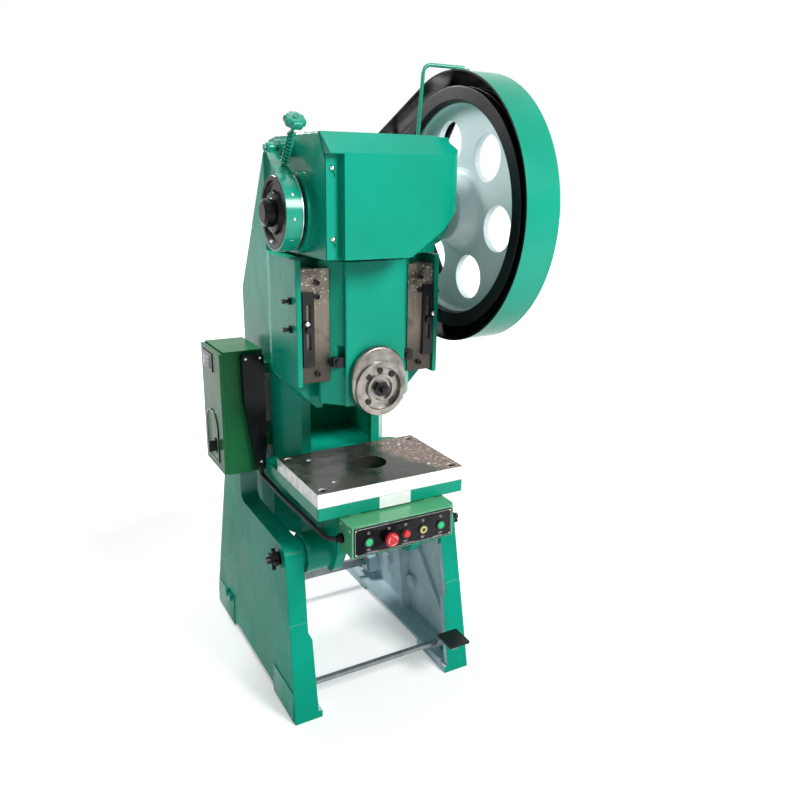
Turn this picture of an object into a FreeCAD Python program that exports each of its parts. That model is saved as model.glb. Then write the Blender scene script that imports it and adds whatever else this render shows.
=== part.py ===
import FreeCAD, Part
import math
import os
import re
import Sketcher
from types import SimpleNamespace
from FreeCAD import Placement, Rotation, Vector

# An inclinable C-frame stamping press. Millimetres, +Z up, +X to the right of
# someone standing in front, +Y to the back. The origin is on the floor, in the
# middle of the four anchor holes of the two legs.

dimensions = {
    # stand
    "footHalf": 372, "footOut": 293, "legLean": 1.7, "legPlate": 14, "soleWidth": 84,
    "flangeUpper": 55, "flangeLower": 73, "notchHeight": 250, "footThick": 22,
    "anchorX": 250, "anchorY": 300, "anchorRadius": 9, "soleRise": 21,
    "trunnionY": -246, "trunnionZ": 467, "trunnionRadius": 25, "trunnionBoss": 58,
    # frame casting
    "tableHalf": 225, "tableFront": -405, "tableBack": 14, "tableTop": 670, "tableEdge": 36,
    "bolsterThick": 40, "bolsterDepth": 300, "dropRadius": 50,
    "headHalf": 180, "headFront": -377, "headBottom": 1305, "headTop": 1600, "headWall": 30,
    "wallHalf": 190, "wallThick": 28, "wallBack": 262, "kneeZ": 1158, "ridgeY": 2, "ridgeZ": 1592,
    "neckHalf": 130, "neckInner": 102, "cheekHalf": 140, "throatY": -66, "earHalf": 215, "earFace": -185,
    "earBottom": 960, "earTop": 1296, "lipFront": -262, "lipInner": 201,
    # crank train
    "crankY": -225, "crankZ": 1412, "throw": 27.5, "journalRadius": 35, "pinRadius": 42,
    "drumFace": -257, "drumRadius": 90, "drumWidth": 46, "bandThick": 6, "brakeLean": 28.5, "rodLean": 38,
    "panelStep": 28, "coverRight": 184, "chamferZ": 1556,
    "webFace": 298, "webRadius": 288, "webThick": 18, "rimRadius": 326, "rimLeft": 264,
    "rimRight": 350, "holeCircle": 190, "holeRadius": 61, "holeTurn": 12,
    "beltPitch": 26, "beltWidth": 13, "beltDepth": 9,
    "motorY": 440, "motorZ": 1418, "motorRadius": 88, "pulleyRadius": 46,
    "guardRadius": 364, "guardTail": 92, "guardLeft": 252, "guardRight": 357, "sheetThick": 3,
    # slide and guides
    "slideHalf": 90, "slideFront": -294, "slideBack": -151, "slideBottom": 900, "slideTop": 1290,
    "ridgeRoot": 55, "ridgeReach": 48, "ridgeTip": 7, "gibFront": -255, "gibOut": 200,
    "gibBottom": 968, "gibTop": 1272, "guideGap": 0.4, "shankRadius": 20, "shankDepth": 70,
    "rodLength": 319,
    # electric box and controls
    "boxOut": 335, "boxIn": 217, "boxFront": 17, "boxBack": 203, "boxBottom": 632, "boxTop": 1010,
    "panelFront": -465, "panelZ": 577, "consoleHalf": 156, "consoleBack": -384, "hoodReach": 6,
    "consoleBottom": 537, "consoleTop": 626, "buttonRadius": 14.5, "mushroomRadius": 20,
    "cableRadius": 7,
    # treadle
    "treadleX": 236, "treadleY": -334, "treadleZ": 86, "treadleWidth": 15, "padZ": 150,
}
d = SimpleNamespace(**dimensions)

doc = FreeCAD.newDocument("StampingPress")
sheet = doc.addObject("Spreadsheet::Sheet", "Dimensions")
for row, (word, value) in enumerate(dimensions.items(), start=1):
    sheet.set(f"A{row}", word)
    sheet.set(f"B{row}", str(value))
    sheet.setAlias(f"B{row}", word)
doc.recompute()

nodes = []
counter = iter(range(1, 100000))


def bound(formula):
    """Put the sheet's name before each of its words in a formula."""
    def point(match):
        word = match.group()
        return f"Dimensions.{word}" if word in dimensions else word
    return re.sub(r"[A-Za-z_]\w*", point, str(formula))


def tie(thing, **formulas):
    """Bind properties of a feature to the sheet; __ stands for a dot."""
    for name, formula in formulas.items():
        thing.setExpression(name.replace("__", "."), bound(formula))


def fresh(kind, word):
    return doc.addObject(kind, f"{word}{next(counter)}")


def node(name, thing):
    """Give a finished piece its own name and keep it for writing."""
    thing.Label = name
    nodes.append(thing)
    return thing


# ---- outlines -------------------------------------------------------------

def rounded_edges(corners):
    """Lines and arcs round a closed outline; a corner may carry a radius."""
    count = len(corners)
    marks = []
    for i, corner in enumerate(corners):
        here = Vector(corner[0], corner[1], 0)
        radius = corner[2] if len(corner) > 2 else 0
        if radius == 0:
            marks.append((here, None, here))
            continue
        before = Vector(corners[i - 1][0], corners[i - 1][1], 0)
        after = Vector(corners[(i + 1) % count][0], corners[(i + 1) % count][1], 0)
        back = (before - here).normalize()
        ahead = (after - here).normalize()
        half = back.getAngle(ahead) / 2
        reach = radius / math.tan(half)
        inward = (back + ahead).normalize()
        middle = here + inward * (radius / math.sin(half) - radius)
        marks.append((here + back * reach, middle, here + ahead * reach))
    edges = []
    for i, (start, middle, end) in enumerate(marks):
        if middle is not None:
            edges.append(Part.Arc(start, middle, end))
        following = marks[(i + 1) % count][0]
        if (following - end).Length > 1e-6:
            edges.append(Part.LineSegment(end, following))
    return edges


def draw(sketch, corners):
    sketch.addGeometry(rounded_edges(corners), False)


def draw_circle(sketch, u, v, radius):
    """A circle whose radius is bound to the sheet."""
    ring = sketch.addGeometry(Part.Circle(Vector(u, v, 0), Vector(0, 0, 1), 1), False)
    row = sketch.addConstraint(Sketcher.Constraint("Radius", ring, 1))
    sketch.setExpression(f"Constraints[{row}]", bound(radius))
    for axis, value in (("DistanceX", u), ("DistanceY", v)):
        sketch.addConstraint(Sketcher.Constraint(axis, -1, 1, ring, 3, value))


def mirror_x(corners):
    return [(-c[0],) + tuple(c[1:]) for c in corners]


# ---- solids from outlines and primitives ----------------------------------

def prism(axis, corners, low, high):
    """An outline drawn square to an axis and pushed from low to high."""
    sketch = fresh("Sketcher::SketchObject", "Outline")
    draw(sketch, corners)
    if axis == "x":
        sketch.Placement = Placement(Vector(), Rotation(Vector(1, 1, 1), 120))
        tie(sketch, Placement__Base__x=low)
    elif axis == "y":
        sketch.Placement = Placement(Vector(), Rotation(Vector(1, 0, 0), 90))
        tie(sketch, Placement__Base__y=high)
    else:
        tie(sketch, Placement__Base__z=low)
    solid = fresh("Part::Extrusion", "Prism")
    solid.Base = sketch
    solid.DirMode = "Normal"
    solid.Solid = True
    tie(solid, LengthFwd=f"({high}) - ({low})")
    return solid


def block(x, y, z):
    """A box between three pairs of formulas."""
    solid = fresh("Part::Box", "Block")
    for letter, side, (low, high) in zip("xyz", ("Length", "Width", "Height"), (x, y, z)):
        tie(solid, **{side: f"({high}) - ({low})", f"Placement__Base__{letter}": low})
    return solid


def rod(axis, centre, radius, low, high):
    """A cylinder along an axis; centre holds the other two places."""
    solid = fresh("Part::Cylinder", "Rod")
    turns = {"x": Rotation(Vector(0, 1, 0), 90), "y": Rotation(Vector(1, 0, 0), -90), "z": Rotation()}
    solid.Placement = Placement(Vector(), turns[axis])
    letters = [letter for letter in "xyz" if letter != axis]
    places = dict(zip(letters, centre))
    places[axis] = low
    for letter, formula in places.items():
        tie(solid, **{f"Placement__Base__{letter}": formula})
    tie(solid, Radius=radius, Height=f"({high}) - ({low})")
    return solid


def fuse(*pieces):
    joined = fresh("Part::MultiFuse", "Joined")
    joined.Shapes = list(pieces)
    return joined


def cut(base, *tools):
    result = fresh("Part::Cut", "Trimmed")
    result.Base = base
    result.Tool = tools[0] if len(tools) == 1 else fuse(*tools)
    return result


def common(*pieces):
    shared = fresh("Part::MultiCommon", "Shared")
    shared.Shapes = list(pieces)
    return shared


def both_sides(make):
    """Build a piece on the left and its mirror on the right."""
    return fuse(make(-1), make(1))


def mirrored(source):
    twin = fresh("Part::Mirroring", "Twin")
    twin.Source = source
    twin.Normal = Vector(1, 0, 0)
    return twin


# ---- bodies made from sketches --------------------------------------------

def new_body(name):
    body = doc.addObject("PartDesign::Body", name)
    return node(name, body)


def face_sketch(body, role, height=0):
    plane = next(f for f in body.Origin.OriginFeatures if f.Role == role)
    sketch = body.newObject("Sketcher::SketchObject", f"Sketch{next(counter)}")
    sketch.AttachmentSupport = [(plane, "")]
    sketch.MapMode = "FlatFace"
    tie(sketch, AttachmentOffset__Base__z=height)
    return sketch


def pad(body, sketch, length, reverse=False):
    feature = body.newObject("PartDesign::Pad", f"Pad{next(counter)}")
    feature.Profile = sketch
    feature.Reversed = reverse
    tie(feature, Length=length)
    return feature


def pocket(body, sketch, length, reverse=False):
    feature = body.newObject("PartDesign::Pocket", f"Pocket{next(counter)}")
    feature.Profile = sketch
    feature.Reversed = reverse
    tie(feature, Length=length)
    return feature


def bevelled(corners):
    """The same outline with a straight bevel in place of each rounded corner."""
    outline = []
    for i, corner in enumerate(corners):
        if len(corner) < 3:
            outline.append(corner)
            continue
        here = Vector(corner[0], corner[1], 0)
        back = Vector(corners[i - 1][0], corners[i - 1][1], 0) - here
        ahead = Vector(corners[(i + 1) % len(corners)][0], corners[(i + 1) % len(corners)][1], 0) - here
        reach = 0.7 * corner[2] / math.tan(back.getAngle(ahead) / 2)
        for way in (back, ahead):
            spot = here + way.normalize() * reach
            outline.append((spot.x, spot.y))
    return outline


def revolve(body, corners):
    """Turn an outline of (along, radius) points about the body's X axis."""
    sketch = face_sketch(body, "XY_Plane")
    draw(sketch, bevelled(corners))
    feature = body.newObject("PartDesign::Revolution", f"Turn{next(counter)}")
    feature.Profile = sketch
    feature.ReferenceAxis = (sketch, ["H_Axis"])
    feature.Angle = 360
    return feature


def spread(body, feature, count, axis_role="X_Axis"):
    """Repeat a feature round one of the body's axes."""
    line = next(f for f in body.Origin.OriginFeatures if f.Role == axis_role)
    ring = body.newObject("PartDesign::PolarPattern", f"Ring{next(counter)}")
    ring.Originals = [feature]
    ring.Axis = (line, [""])
    ring.Angle = 360
    ring.Occurrences = count
    body.Tip = ring
    return ring


def stand_at(thing, x=0, y=0, z=0, turn=None):
    if turn is not None:
        thing.Placement = Placement(Vector(), turn)
    tie(thing, Placement__Base__x=x, Placement__Base__y=y, Placement__Base__z=z)


# ---- shapes that are computed: fasteners, wires, springs --------------------

def shape_node(name, shapes):
    piece = doc.addObject("Part::Feature", name)
    piece.Shape = shapes[0] if len(shapes) == 1 else Part.makeCompound(shapes)
    return node(name, piece)


def round_bar(start, end, radius):
    along = end - start
    return Part.makeCylinder(radius, along.Length, start, along)


def hex_bar(start, direction, across, length):
    """A hexagonal prism, as a nut or a bolt's head."""
    along = Vector(direction).normalize()
    side = along.cross(Vector(0, 0, 1) if abs(along.z) < 0.9 else Vector(1, 0, 0)).normalize()
    up = along.cross(side)
    reach = across / math.sqrt(3)
    points = []
    for i in range(7):
        angle = math.radians(60 * i)
        points.append(start + side * (reach * math.cos(angle)) + up * (reach * math.sin(angle)))
    return Part.Face(Part.makePolygon(points)).extrude(along * length)


def cap_screw(start, direction, shank):
    """A socket head screw: its head stands on start, its shank goes back."""
    along = Vector(direction).normalize()
    head = Part.makeCylinder(shank * 1.5, shank * 1.9, start, along)
    socket = hex_bar(start + along * (shank * 0.9), along, shank * 1.6, shank * 1.2)
    body = Part.makeCylinder(shank, shank * 3, start - along * (shank * 3), along)
    return head.cut(socket).fuse(body)


def hex_bolt(start, direction, shank, depth):
    along = Vector(direction).normalize()
    head = hex_bar(start, along, shank * 3, shank * 1.3)
    return head.fuse(Part.makeCylinder(shank, depth, start - along * depth, along))


def bent_wire(points, radius):
    """Straight runs joined by tangent arcs."""
    edges = []
    start = points[0]
    for i in range(1, len(points) - 1):
        here = points[i]
        back = (points[i - 1] - here)
        ahead = (points[i + 1] - here)
        half = back.getAngle(ahead) / 2
        reach = 0.45 * min(back.Length, ahead.Length) if radius is None else radius / math.tan(half)
        bend = reach * math.tan(half)
        back.normalize()
        ahead.normalize()
        inward = (back + ahead).normalize()
        first = here + back * reach
        last = here + ahead * reach
        middle = here + inward * (bend / math.sin(half) - bend)
        edges.append(Part.LineSegment(start, first).toShape())
        edges.append(Part.Arc(first, middle, last).toShape())
        print(f"bend {i}: radius {bend:.1f} mm")
        start = last
    edges.append(Part.LineSegment(start, points[-1]).toShape())
    return Part.Wire(edges)


def tube_along(wire, radius):
    """A round bar along a wire; its volume is compared with section times length."""
    first = wire.Edges[0]
    start = first.valueAt(first.FirstParameter)
    ring = Part.Wire(Part.makeCircle(radius, start, first.tangentAt(first.FirstParameter)))
    solid = wire.makePipeShell([ring], True, False)
    expected = math.pi * radius ** 2 * wire.Length
    print(f"tube volume {solid.Volume:.0f}, section times length {expected:.0f}")
    return solid


def spring_wire(height, radius, turns):
    """A helix about Z as biarcs of a quarter turn, with a flat turn at each end."""
    steps = turns * 4

    def place(step):
        angle = math.radians(90 * step)
        lead = height / steps
        point = Vector(radius * math.cos(angle), radius * math.sin(angle), lead * step)
        rise = lead / math.radians(90)
        tangent = Vector(-radius * math.sin(angle), radius * math.cos(angle), rise)
        return point, tangent.normalize()

    edges = []
    for step in range(steps):
        p0, t0 = place(step)
        p1, t1 = place(step + 1)
        span = p1 - p0
        both = t0 + t1
        bend = 2 * (1 - t0.dot(t1))
        root = math.sqrt(span.dot(both) ** 2 + bend * span.dot(span))
        reach = (-span.dot(both) + root) / bend
        joint = (p0 + t0 * reach + p1 - t1 * reach) * 0.5
        for start, end, corner in ((p0, joint, p0 + t0 * reach), (joint, p1, p1 - t1 * reach)):
            middle = (start + end) * 0.5
            half = (end - start).getAngle(corner - start)
            top = middle + (corner - middle) * (math.tan(half / 2) / math.tan(half))
            edges.append(Part.Arc(start, top, end).toShape())
    return Part.Wire(edges)


def teardrop(offset):
    """The outline round the flywheel and the motor pulley, moved outwards by offset."""
    return loop_round(d.guardRadius + offset, d.guardTail + offset)


def loop_round(big, small):
    """Two arcs and their outer tangents, in the plane square to the shafts."""
    centre = Vector(0, d.crankY, d.crankZ)
    tail = Vector(0, d.motorY, d.motorZ)
    apart = (tail - centre).Length
    level = math.atan2(tail.z - centre.z, tail.y - centre.y)
    lean = math.acos((big - small) / apart)

    def spot(middle, radius, angle):
        return middle + Vector(0, math.cos(angle), math.sin(angle)) * radius

    top, bottom = level + lean, level - lean
    edges = [
        Part.Arc(spot(centre, big, top), spot(centre, big, level + math.pi), spot(centre, big, bottom)),
        Part.LineSegment(spot(centre, big, bottom), spot(tail, small, bottom)),
        Part.Arc(spot(tail, small, bottom), spot(tail, small, level), spot(tail, small, top)),
        Part.LineSegment(spot(tail, small, top), spot(centre, big, top)),
    ]
    return Part.Face(Part.Wire([edge.toShape() for edge in edges]))


# ---- stand ------------------------------------------------------------------

def rear_edge(z):
    """Where the sloping back of the frame stands at a height above its knee."""
    slope = (d.wallBack - d.ridgeY) / (d.ridgeZ - d.kneeZ)
    return d.wallBack - (z - d.kneeZ) * slope


def leg(side):
    """One cast side of the stand: a thin web with a flange all round and crossed ribs."""
    out, half = d.footOut, d.footHalf
    profile = [
        (-half - 4, 0), (-200, 0), (-186, d.soleRise), (176, d.soleRise), (190, 0), (half + 10, 0),
        (half + 10, 60), (264, 575, 24), (244, 606, 14), (104, 606, 26), (96, 512, 34), (-286.4, 512, 40),
    ]
    inner = [
        (-half + 18, 34, 8), (half - 8, 34, 8), (250, 570, 14), (236, 590, 8), (120, 590, 12), (112, 494, 20),
        (-270, 494, 24),
    ]
    web = prism("x", profile, f"-{out}", f"-{out} + legPlate")
    rim = prism("x", profile, f"-{out}", f"-{out} + flangeUpper")
    hollow = prism("x", inner, f"-{out} + legPlate", f"-{out} + 80")
    notch = d.notchHeight
    upper, lower = -out + d.flangeUpper - 1, -out + d.flangeLower
    front = prism("y", [(-out, 0), (lower, 0), (lower - 7, notch - 12, 4), (upper, notch + 12, 4),
                        (upper, 300), (-out, 300)], -400, -290)
    front_band = prism("x", [(-half - 4, 0), (-half + 16, 0), (-306, 290), (-326, 290)],
                       f"-{out} - 1", f"-{out} + flangeLower + 1")
    soles = common(
        prism("x", profile, f"-{out}", f"-{out} + soleWidth"),
        fuse(block((f"-{out} - 1", f"-{out} + soleWidth + 1"), ("-footHalf - 4", -200), (0, "footThick")),
             block((f"-{out} - 1", f"-{out} + soleWidth + 1"), (190, "footHalf + 10"), (0, "footThick")),
             block((f"-{out} - 1", f"-{out} + soleWidth + 1"), (-340, 350), ("soleRise", "soleRise + 12"))),
    )
    ribs = [
        prism("x", [(-44, 26), (-32, 26), (8, 500), (-4, 500)], f"-{out} + 4", f"-{out} + 50"),
        prism("x", [(-352, 40), (-340, 26), (90, 500), (76, 508)], f"-{out} + 4", f"-{out} + 26"),
        prism("x", [(360, 40), (346, 26), (-216, 480), (-204, 492)], f"-{out} + 4", f"-{out} + 26"),
        block((f"-{out} + 4", f"-{out} + flangeUpper"), (203, 287), (60, 120)),
    ]
    bosses = [rod("x", (y, 150), 24, f"-{out} + 4", f"-{out} + 30") for y in (-60, 120)]
    casting = fuse(web, cut(rim, hollow), common(front, front_band), soles, *ribs, *bosses)
    casting.Placement = Placement(Vector(), Rotation(Vector(0, 1, 0), d.legLean), Vector(-out, 0, 0))
    boss = rod("x", ("trunnionY", "trunnionZ"), 45, -276, -215)
    spot = rod("x", ("trunnionY", "trunnionZ"), 27, -281, -270)
    pads = rod("z", ("-anchorX", "-anchorY"), 22, 0, 30), rod("z", ("-anchorX", "anchorY"), 22, 0, 30)
    above_floor = block((-400, 0), (-500, 500), (0, 700))
    whole = common(fuse(casting, boss, spot, *pads), above_floor)
    shaft = rod("x", ("trunnionY", "trunnionZ"), "trunnionRadius", -400, -100)
    anchors = [rod("z", ("-anchorX", f"{sign}anchorY"), "anchorRadius", -10, 60) for sign in "-+"]
    tie_holes = [rod("x", (y, 90), 8, -400, -100) for y in (225, 265)]
    treadle_hole = rod("y", ("-treadleX", "treadleZ"), 6.1, -354, -325)
    finished = cut(whole, shaft, treadle_hole, *anchors, *tie_holes)
    return finished if side < 0 else mirrored(finished)


node("leg_left", leg(-1))
node("leg_right", leg(1))

tie_plates = [block((x, x + 9), (205, 285), (66, 114)) for x in (-234.5, 225.5)]
tie_bar_holes = [rod("x", (y, 90), 7.6, -240, 240) for y in (225, 265)]
node("rear_tie_bar", cut(fuse(block((-230, 230), (238, 252), (75, 105)), *tie_plates), *tie_bar_holes))

tie_bolts = [
    hex_bolt(Vector(sign * 291, y, 90), Vector(sign, 0, 0), 7.5, 70) for sign in (-1, 1) for y in (225, 265)
]
treadle_pivot = hex_bolt(Vector(-d.treadleX, -297.5, d.treadleZ), Vector(0, 1, 0), 6, 55)
shape_node("stand_bolts", tie_bolts + [treadle_pivot])

pins = []
for sign in (-1, 1):
    shoulder = Vector(sign * 281, d.trunnionY, d.trunnionZ)
    pin = round_bar(shoulder, Vector(sign * 152, d.trunnionY, d.trunnionZ), d.trunnionRadius - 0.05)
    pins.append(pin.fuse(round_bar(shoulder, Vector(sign * 318, d.trunnionY, d.trunnionZ), 10)))
shape_node("trunnion_pins", pins)


def lock_nut():
    """A clamping nut with a cross of four short arms."""
    body = doc.addObject("PartDesign::Body", "LockNut")
    revolve(body, [(0, 10.05), (0, 20, 3), (6, 20, 2), (10, 17), (26, 15, 4), (26, 10.05)])
    arm = face_sketch(body, "XY_Plane", 12)
    draw(arm, [(9, -5.5, 3), (21, -5.5, 3), (21, 5.5, 3), (9, 5.5, 3)])
    grip = pad(body, arm, 19)
    spread(body, grip, 4)
    stand_at(body, 281.1, "trunnionY", "trunnionZ")
    return body


right_nut = lock_nut()
node("tilt_nuts", fuse(right_nut, mirrored(right_nut)))


# ---- where the brake strap leaves the band --------------------------------------

band_in = d.drumRadius + 0.4
band_out = band_in + d.bandThick
crank_centre = Vector(0, d.crankY, d.crankZ)
lean = math.radians(d.brakeLean)
band_normal = Vector(0, -math.sin(lean), math.cos(lean))
strap_way = Vector(0, math.cos(lean), math.sin(lean))
strap_start = crank_centre + band_normal * band_out
lug_pin_spot = strap_start + strap_way * 150.5


def along_strap(way, rise):
    """A (y, z) point measured from where the strap leaves the band."""
    point = strap_start + strap_way * way + band_normal * rise
    return point.y, point.z


# ---- frame casting ----------------------------------------------------------

def wall_section(sign):
    """Plan of one side wall: thick at the back, drawn in to the neck at the throat."""
    inner = d.wallHalf - d.wallThick
    plan = [(-d.neckHalf, d.throatY, 6), (-d.wallHalf, 22), (-d.wallHalf, d.wallBack), (-inner, d.wallBack),
            (-inner, 36), (-d.neckInner, d.throatY + 18), (-d.neckInner, d.throatY)]
    return plan if sign < 0 else mirror_x(plan)


def cheek_section(sign):
    """Plan of one side of the part below the table, as narrow as the neck in front."""
    wall_in = d.wallHalf - d.wallThick
    plan = [(-d.cheekHalf, -338), (-d.cheekHalf, -60), (-d.wallHalf, 30), (-d.wallHalf, d.wallBack),
            (-wall_in, d.wallBack), (-wall_in, 44), (-d.cheekHalf + 28, -48), (-d.cheekHalf + 28, -338)]
    return plan if sign < 0 else mirror_x(plan)


def ear_section(sign):
    """Plan of the wing that carries a guide, with its lip round the outside."""
    plan = [(-d.earHalf, d.lipFront, 3), (-d.lipInner, d.lipFront), (-d.lipInner, d.earFace),
            (-112, d.earFace), (-112, -56), (-d.neckHalf, -56),
            (-d.wallHalf, 22), (-d.earHalf, -66)]
    return plan if sign < 0 else mirror_x(plan)


def silhouette():
    """The C of the side walls: sloping back, upright knee, throat with a curved foot."""
    return [(-470, 400), (d.wallBack, 400), (d.wallBack, d.kneeZ, 30), (d.ridgeY, d.ridgeZ),
            (d.throatY, d.ridgeZ), (d.throatY, 760, 80), (-103, 712), (-103, 660), (-470, 660)]


def frame_casting():
    wall_in = d.wallHalf - d.wallThick
    walls = common(
        both_sides(lambda s: prism("z", wall_section(s), "tableTop - tableEdge", "headTop - 20")),
        prism("x", silhouette(), "-wallHalf - 10", "wallHalf + 10"),
    )
    ears = both_sides(lambda s: prism("z", ear_section(s), "earBottom", "earTop"))
    wedge = [(-d.earHalf, d.earBottom + 1), (-d.neckHalf, 872), (-112, 872), (-112, d.earBottom + 1)]
    wedges = both_sides(lambda s: prism("y", wedge if s < 0 else mirror_x(wedge), "earFace", -60))
    head_profile = [(d.headFront, d.headBottom), (d.headFront, 1540), (-343, d.headTop), (-60, d.headTop),
                    (d.ridgeY, d.ridgeZ, 10), (rear_edge(d.headBottom), d.headBottom)]
    head = prism("x", head_profile, "-headHalf", "headHalf")
    hollow = prism("x", [(-420, d.headBottom + 22), (-420, d.headTop - 20), (-14, d.headTop - 26),
                         (rear_edge(d.headBottom) - 34, d.headBottom + 22)],
                   "-headHalf + headWall", "headHalf - headWall")
    lower = [(-338, 640), (-338, 486, 30), (-296, 404, 50), (190, 440, 70), (d.wallBack, 610, 40),
             (d.wallBack, 640)]
    cheeks = common(both_sides(lambda s: prism("z", cheek_section(s), 390, 640)),
                    prism("x", lower, "-wallHalf - 10", "wallHalf + 10"))
    table_plan = [(-d.tableHalf, d.tableFront, 4), (d.tableHalf, d.tableFront, 4), (d.tableHalf, d.tableBack, 30),
                  (-d.tableHalf, d.tableBack, 30)]
    table = prism("z", table_plan, "tableTop - tableEdge", "tableTop")
    floor_plate = block((-wall_in - 4, wall_in + 4), (0, 250), (640, 662))
    front_web = block(("-cheekHalf + 4", "cheekHalf - 4"), (-338, -314), (490, 640))
    lower_web = prism("x", [(240, 470), (d.wallBack, 600), (d.wallBack, 872), (240, 872)], -wall_in - 4, wall_in + 4)
    upper_web = prism("x", [(238, 1125), (d.wallBack, 1125), (d.wallBack, d.kneeZ, 30),
                            (rear_edge(1320), 1320), (rear_edge(1320) - 30, 1320), (238, 1150)],
                      -wall_in - 4, wall_in + 4)
    bosses = fuse(
        rod("x", ("trunnionY", "trunnionZ"), "trunnionBoss", -214, "-cheekHalf + 4"),
        rod("x", ("trunnionY", "trunnionZ"), "trunnionBoss", "cheekHalf - 4", 214),
        rod("x", ("crankY", "crankZ"), 101, "-headHalf - 22", "-headHalf + headWall + 20"),
        rod("x", ("crankY", "crankZ"), 92, "headHalf - headWall - 20", "headHalf + 30"),
    )
    lug = prism("x", [(-164, 1545, 8), (-110, 1545, 8), (-110, 1588, 12), (-164, 1588, 12)], -208, "-headHalf + 2")
    solid = fuse(walls, ears, wedges, cut(head, hollow), cheeks, table, floor_plate, front_web, lower_web,
                 upper_web, bosses, lug)
    deck_gap = block((-118, 118), (-352, -96), (1290, 1335))
    corner = prism("x", [(-400, 1290), (-290, 1290), (-290, 1338), (-330, 1402), (-358, 1426), (-400, 1426)], 66, 200)
    drop = rod("z", (0, -255), "dropRadius", 600, 700)
    shaft_bores = [
        rod("x", ("trunnionY", "trunnionZ"), "trunnionRadius", -230, 230),
        rod("x", ("crankY", "crankZ"), "journalRadius + 10", -260, 0),
        rod("x", ("crankY", "crankZ"), "journalRadius + 10", 0, 260),
    ]
    lug_pin = rod("x", (lug_pin_spot.y, lug_pin_spot.z), 8, -230, -196)
    screw_holes = [rod("y", (x, z), 3, -380, -360) for x in (-163,) for z in (1356, 1520)]
    return cut(solid, deck_gap, corner, drop, lug_pin, *shaft_bores, *screw_holes)


node("frame_casting", frame_casting())

bolster = new_body("bolster")
plate = face_sketch(bolster, "XY_Plane", "tableTop")
draw(plate, [(-d.tableHalf, d.tableFront), (d.tableHalf, d.tableFront),
             (d.tableHalf, d.tableFront + d.bolsterDepth), (-d.tableHalf, d.tableFront + d.bolsterDepth)])
pad(bolster, plate, "bolsterThick")
through = face_sketch(bolster, "XY_Plane", "tableTop + bolsterThick")
draw_circle(through, 0, -255, "dropRadius")
for x in (-150, 150):
    for y in (-345, -165):
        draw_circle(through, x, y, 7)
pocket(bolster, through, "bolsterThick + 1")
sunk = face_sketch(bolster, "XY_Plane", "tableTop + bolsterThick")
for x in (-200, 200):
    for y in (-380, -130):
        draw_circle(sunk, x, y, 12)
pocket(bolster, sunk, 16)

screws = []
for x in (-200, 200):
    for y in (-380, -130):
        head = Vector(x, y, d.tableTop + d.bolsterThick - 16)
        socket = hex_bar(head + Vector(0, 0, 7), Vector(0, 0, 1), 10, 8)
        screws.append(Part.makeCylinder(9.5, 13, head).cut(socket))
shape_node("bolster_screws", screws)


# ---- guides and slide --------------------------------------------------------

def ridge(gap):
    """Half plan of the slide's vee ridge, grown outwards by a gap: (across, along) points."""
    grow = gap * math.sqrt(2)
    tip = d.slideHalf + d.ridgeReach + gap
    return tip, d.ridgeTip + grow - gap, d.ridgeRoot + grow


def gib(sign):
    """A guide block with the vee groove that the slide's ridge runs in."""
    tip, tip_half, root_half = ridge(d.guideGap)
    front = d.slideHalf + root_half - (d.crankY - d.gibFront)
    back = d.slideHalf + root_half - (d.earFace - d.crankY)
    plan = [(-d.gibOut, d.gibFront, 2), (-front - 4, d.gibFront), (-front - 4, d.gibFront + 4),
            (-tip, d.crankY - tip_half), (-tip, d.crankY + tip_half), (-back, d.earFace), (-d.gibOut, d.earFace)]
    solid = prism("z", plan if sign < 0 else mirror_x(plan), "gibBottom", "gibTop")
    holes = [rod("y", (sign * 156, z), 5.05, d.gibFront - 1, d.earFace + 1) for z in gib_screw_heights]
    return cut(solid, *holes)


gib_screw_heights = (992, 1200, 1236)
node("gib_left", gib(-1))
node("gib_right", gib(1))

shape_node("gib_screws", [
    cap_screw(Vector(sign * 156, d.gibFront, z), Vector(0, -1, 0), 5) for sign in (-1, 1) for z in gib_screw_heights
])

adjusters = []
for sign in (-1, 1):
    for z in (1187, 1112):
        start = Vector(sign * d.earHalf, -222, z)
        out = Vector(sign, 0, 0)
        stem = Part.makeCylinder(5, 24, start, out)
        nut = hex_bar(start, out, 18, 8)
        square = Part.makeBox(9, 11, 11, start + Vector(15 if sign > 0 else -24, -5.5, -5.5))
        adjusters.append(stem.fuse([nut, square]))
shape_node("gib_adjusters", adjusters)

stops = []
for sign in (-1, 1):
    plate = Part.makeBox(32, 9, 200, Vector(sign * 182 - 16, d.gibFront - 9, 1014))
    slot = Part.makeBox(12, 20, 120, Vector(sign * 182 - 6, d.gibFront - 15, 1060))
    stops.append(plate.cut(slot))
    stops.append(hex_bolt(Vector(sign * 182, d.gibFront - 9, 1114), Vector(0, -1, 0), 5.9, 8))
shape_node("knockout_stops", stops)


def slide_block():
    """The slide: a box with a vee ridge down each side, hollow for the connecting rod."""
    tip, tip_half, root_half = ridge(0)
    plan = [(-d.slideHalf, d.slideFront, 5), (d.slideHalf, d.slideFront, 5)]
    right = [(d.slideHalf, d.crankY - root_half), (tip, d.crankY - tip_half),
             (tip, d.crankY + tip_half), (d.slideHalf, d.crankY + root_half)]
    plan += right + [(d.slideHalf, d.slideBack), (-d.slideHalf, d.slideBack)] + list(reversed(mirror_x(right)))
    solid = prism("z", plan, "slideBottom", "slideTop")
    well = block((-56, 56), ("crankY - 60", "crankY + 60"), (1030, "slideTop + 1"))
    bar_slot = block((-150, 150), (-287, -263), (1008, 1066))
    clamp_seat = block((-62, 62), ("slideFront - 1", "crankY"), ("slideBottom - 1", 990))
    shank = rod("z", (0, "crankY"), "shankRadius", "slideBottom - 1", "slideBottom + shankDepth")
    return cut(solid, well, bar_slot, clamp_seat, shank)


node("slide_block", slide_block())


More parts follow.
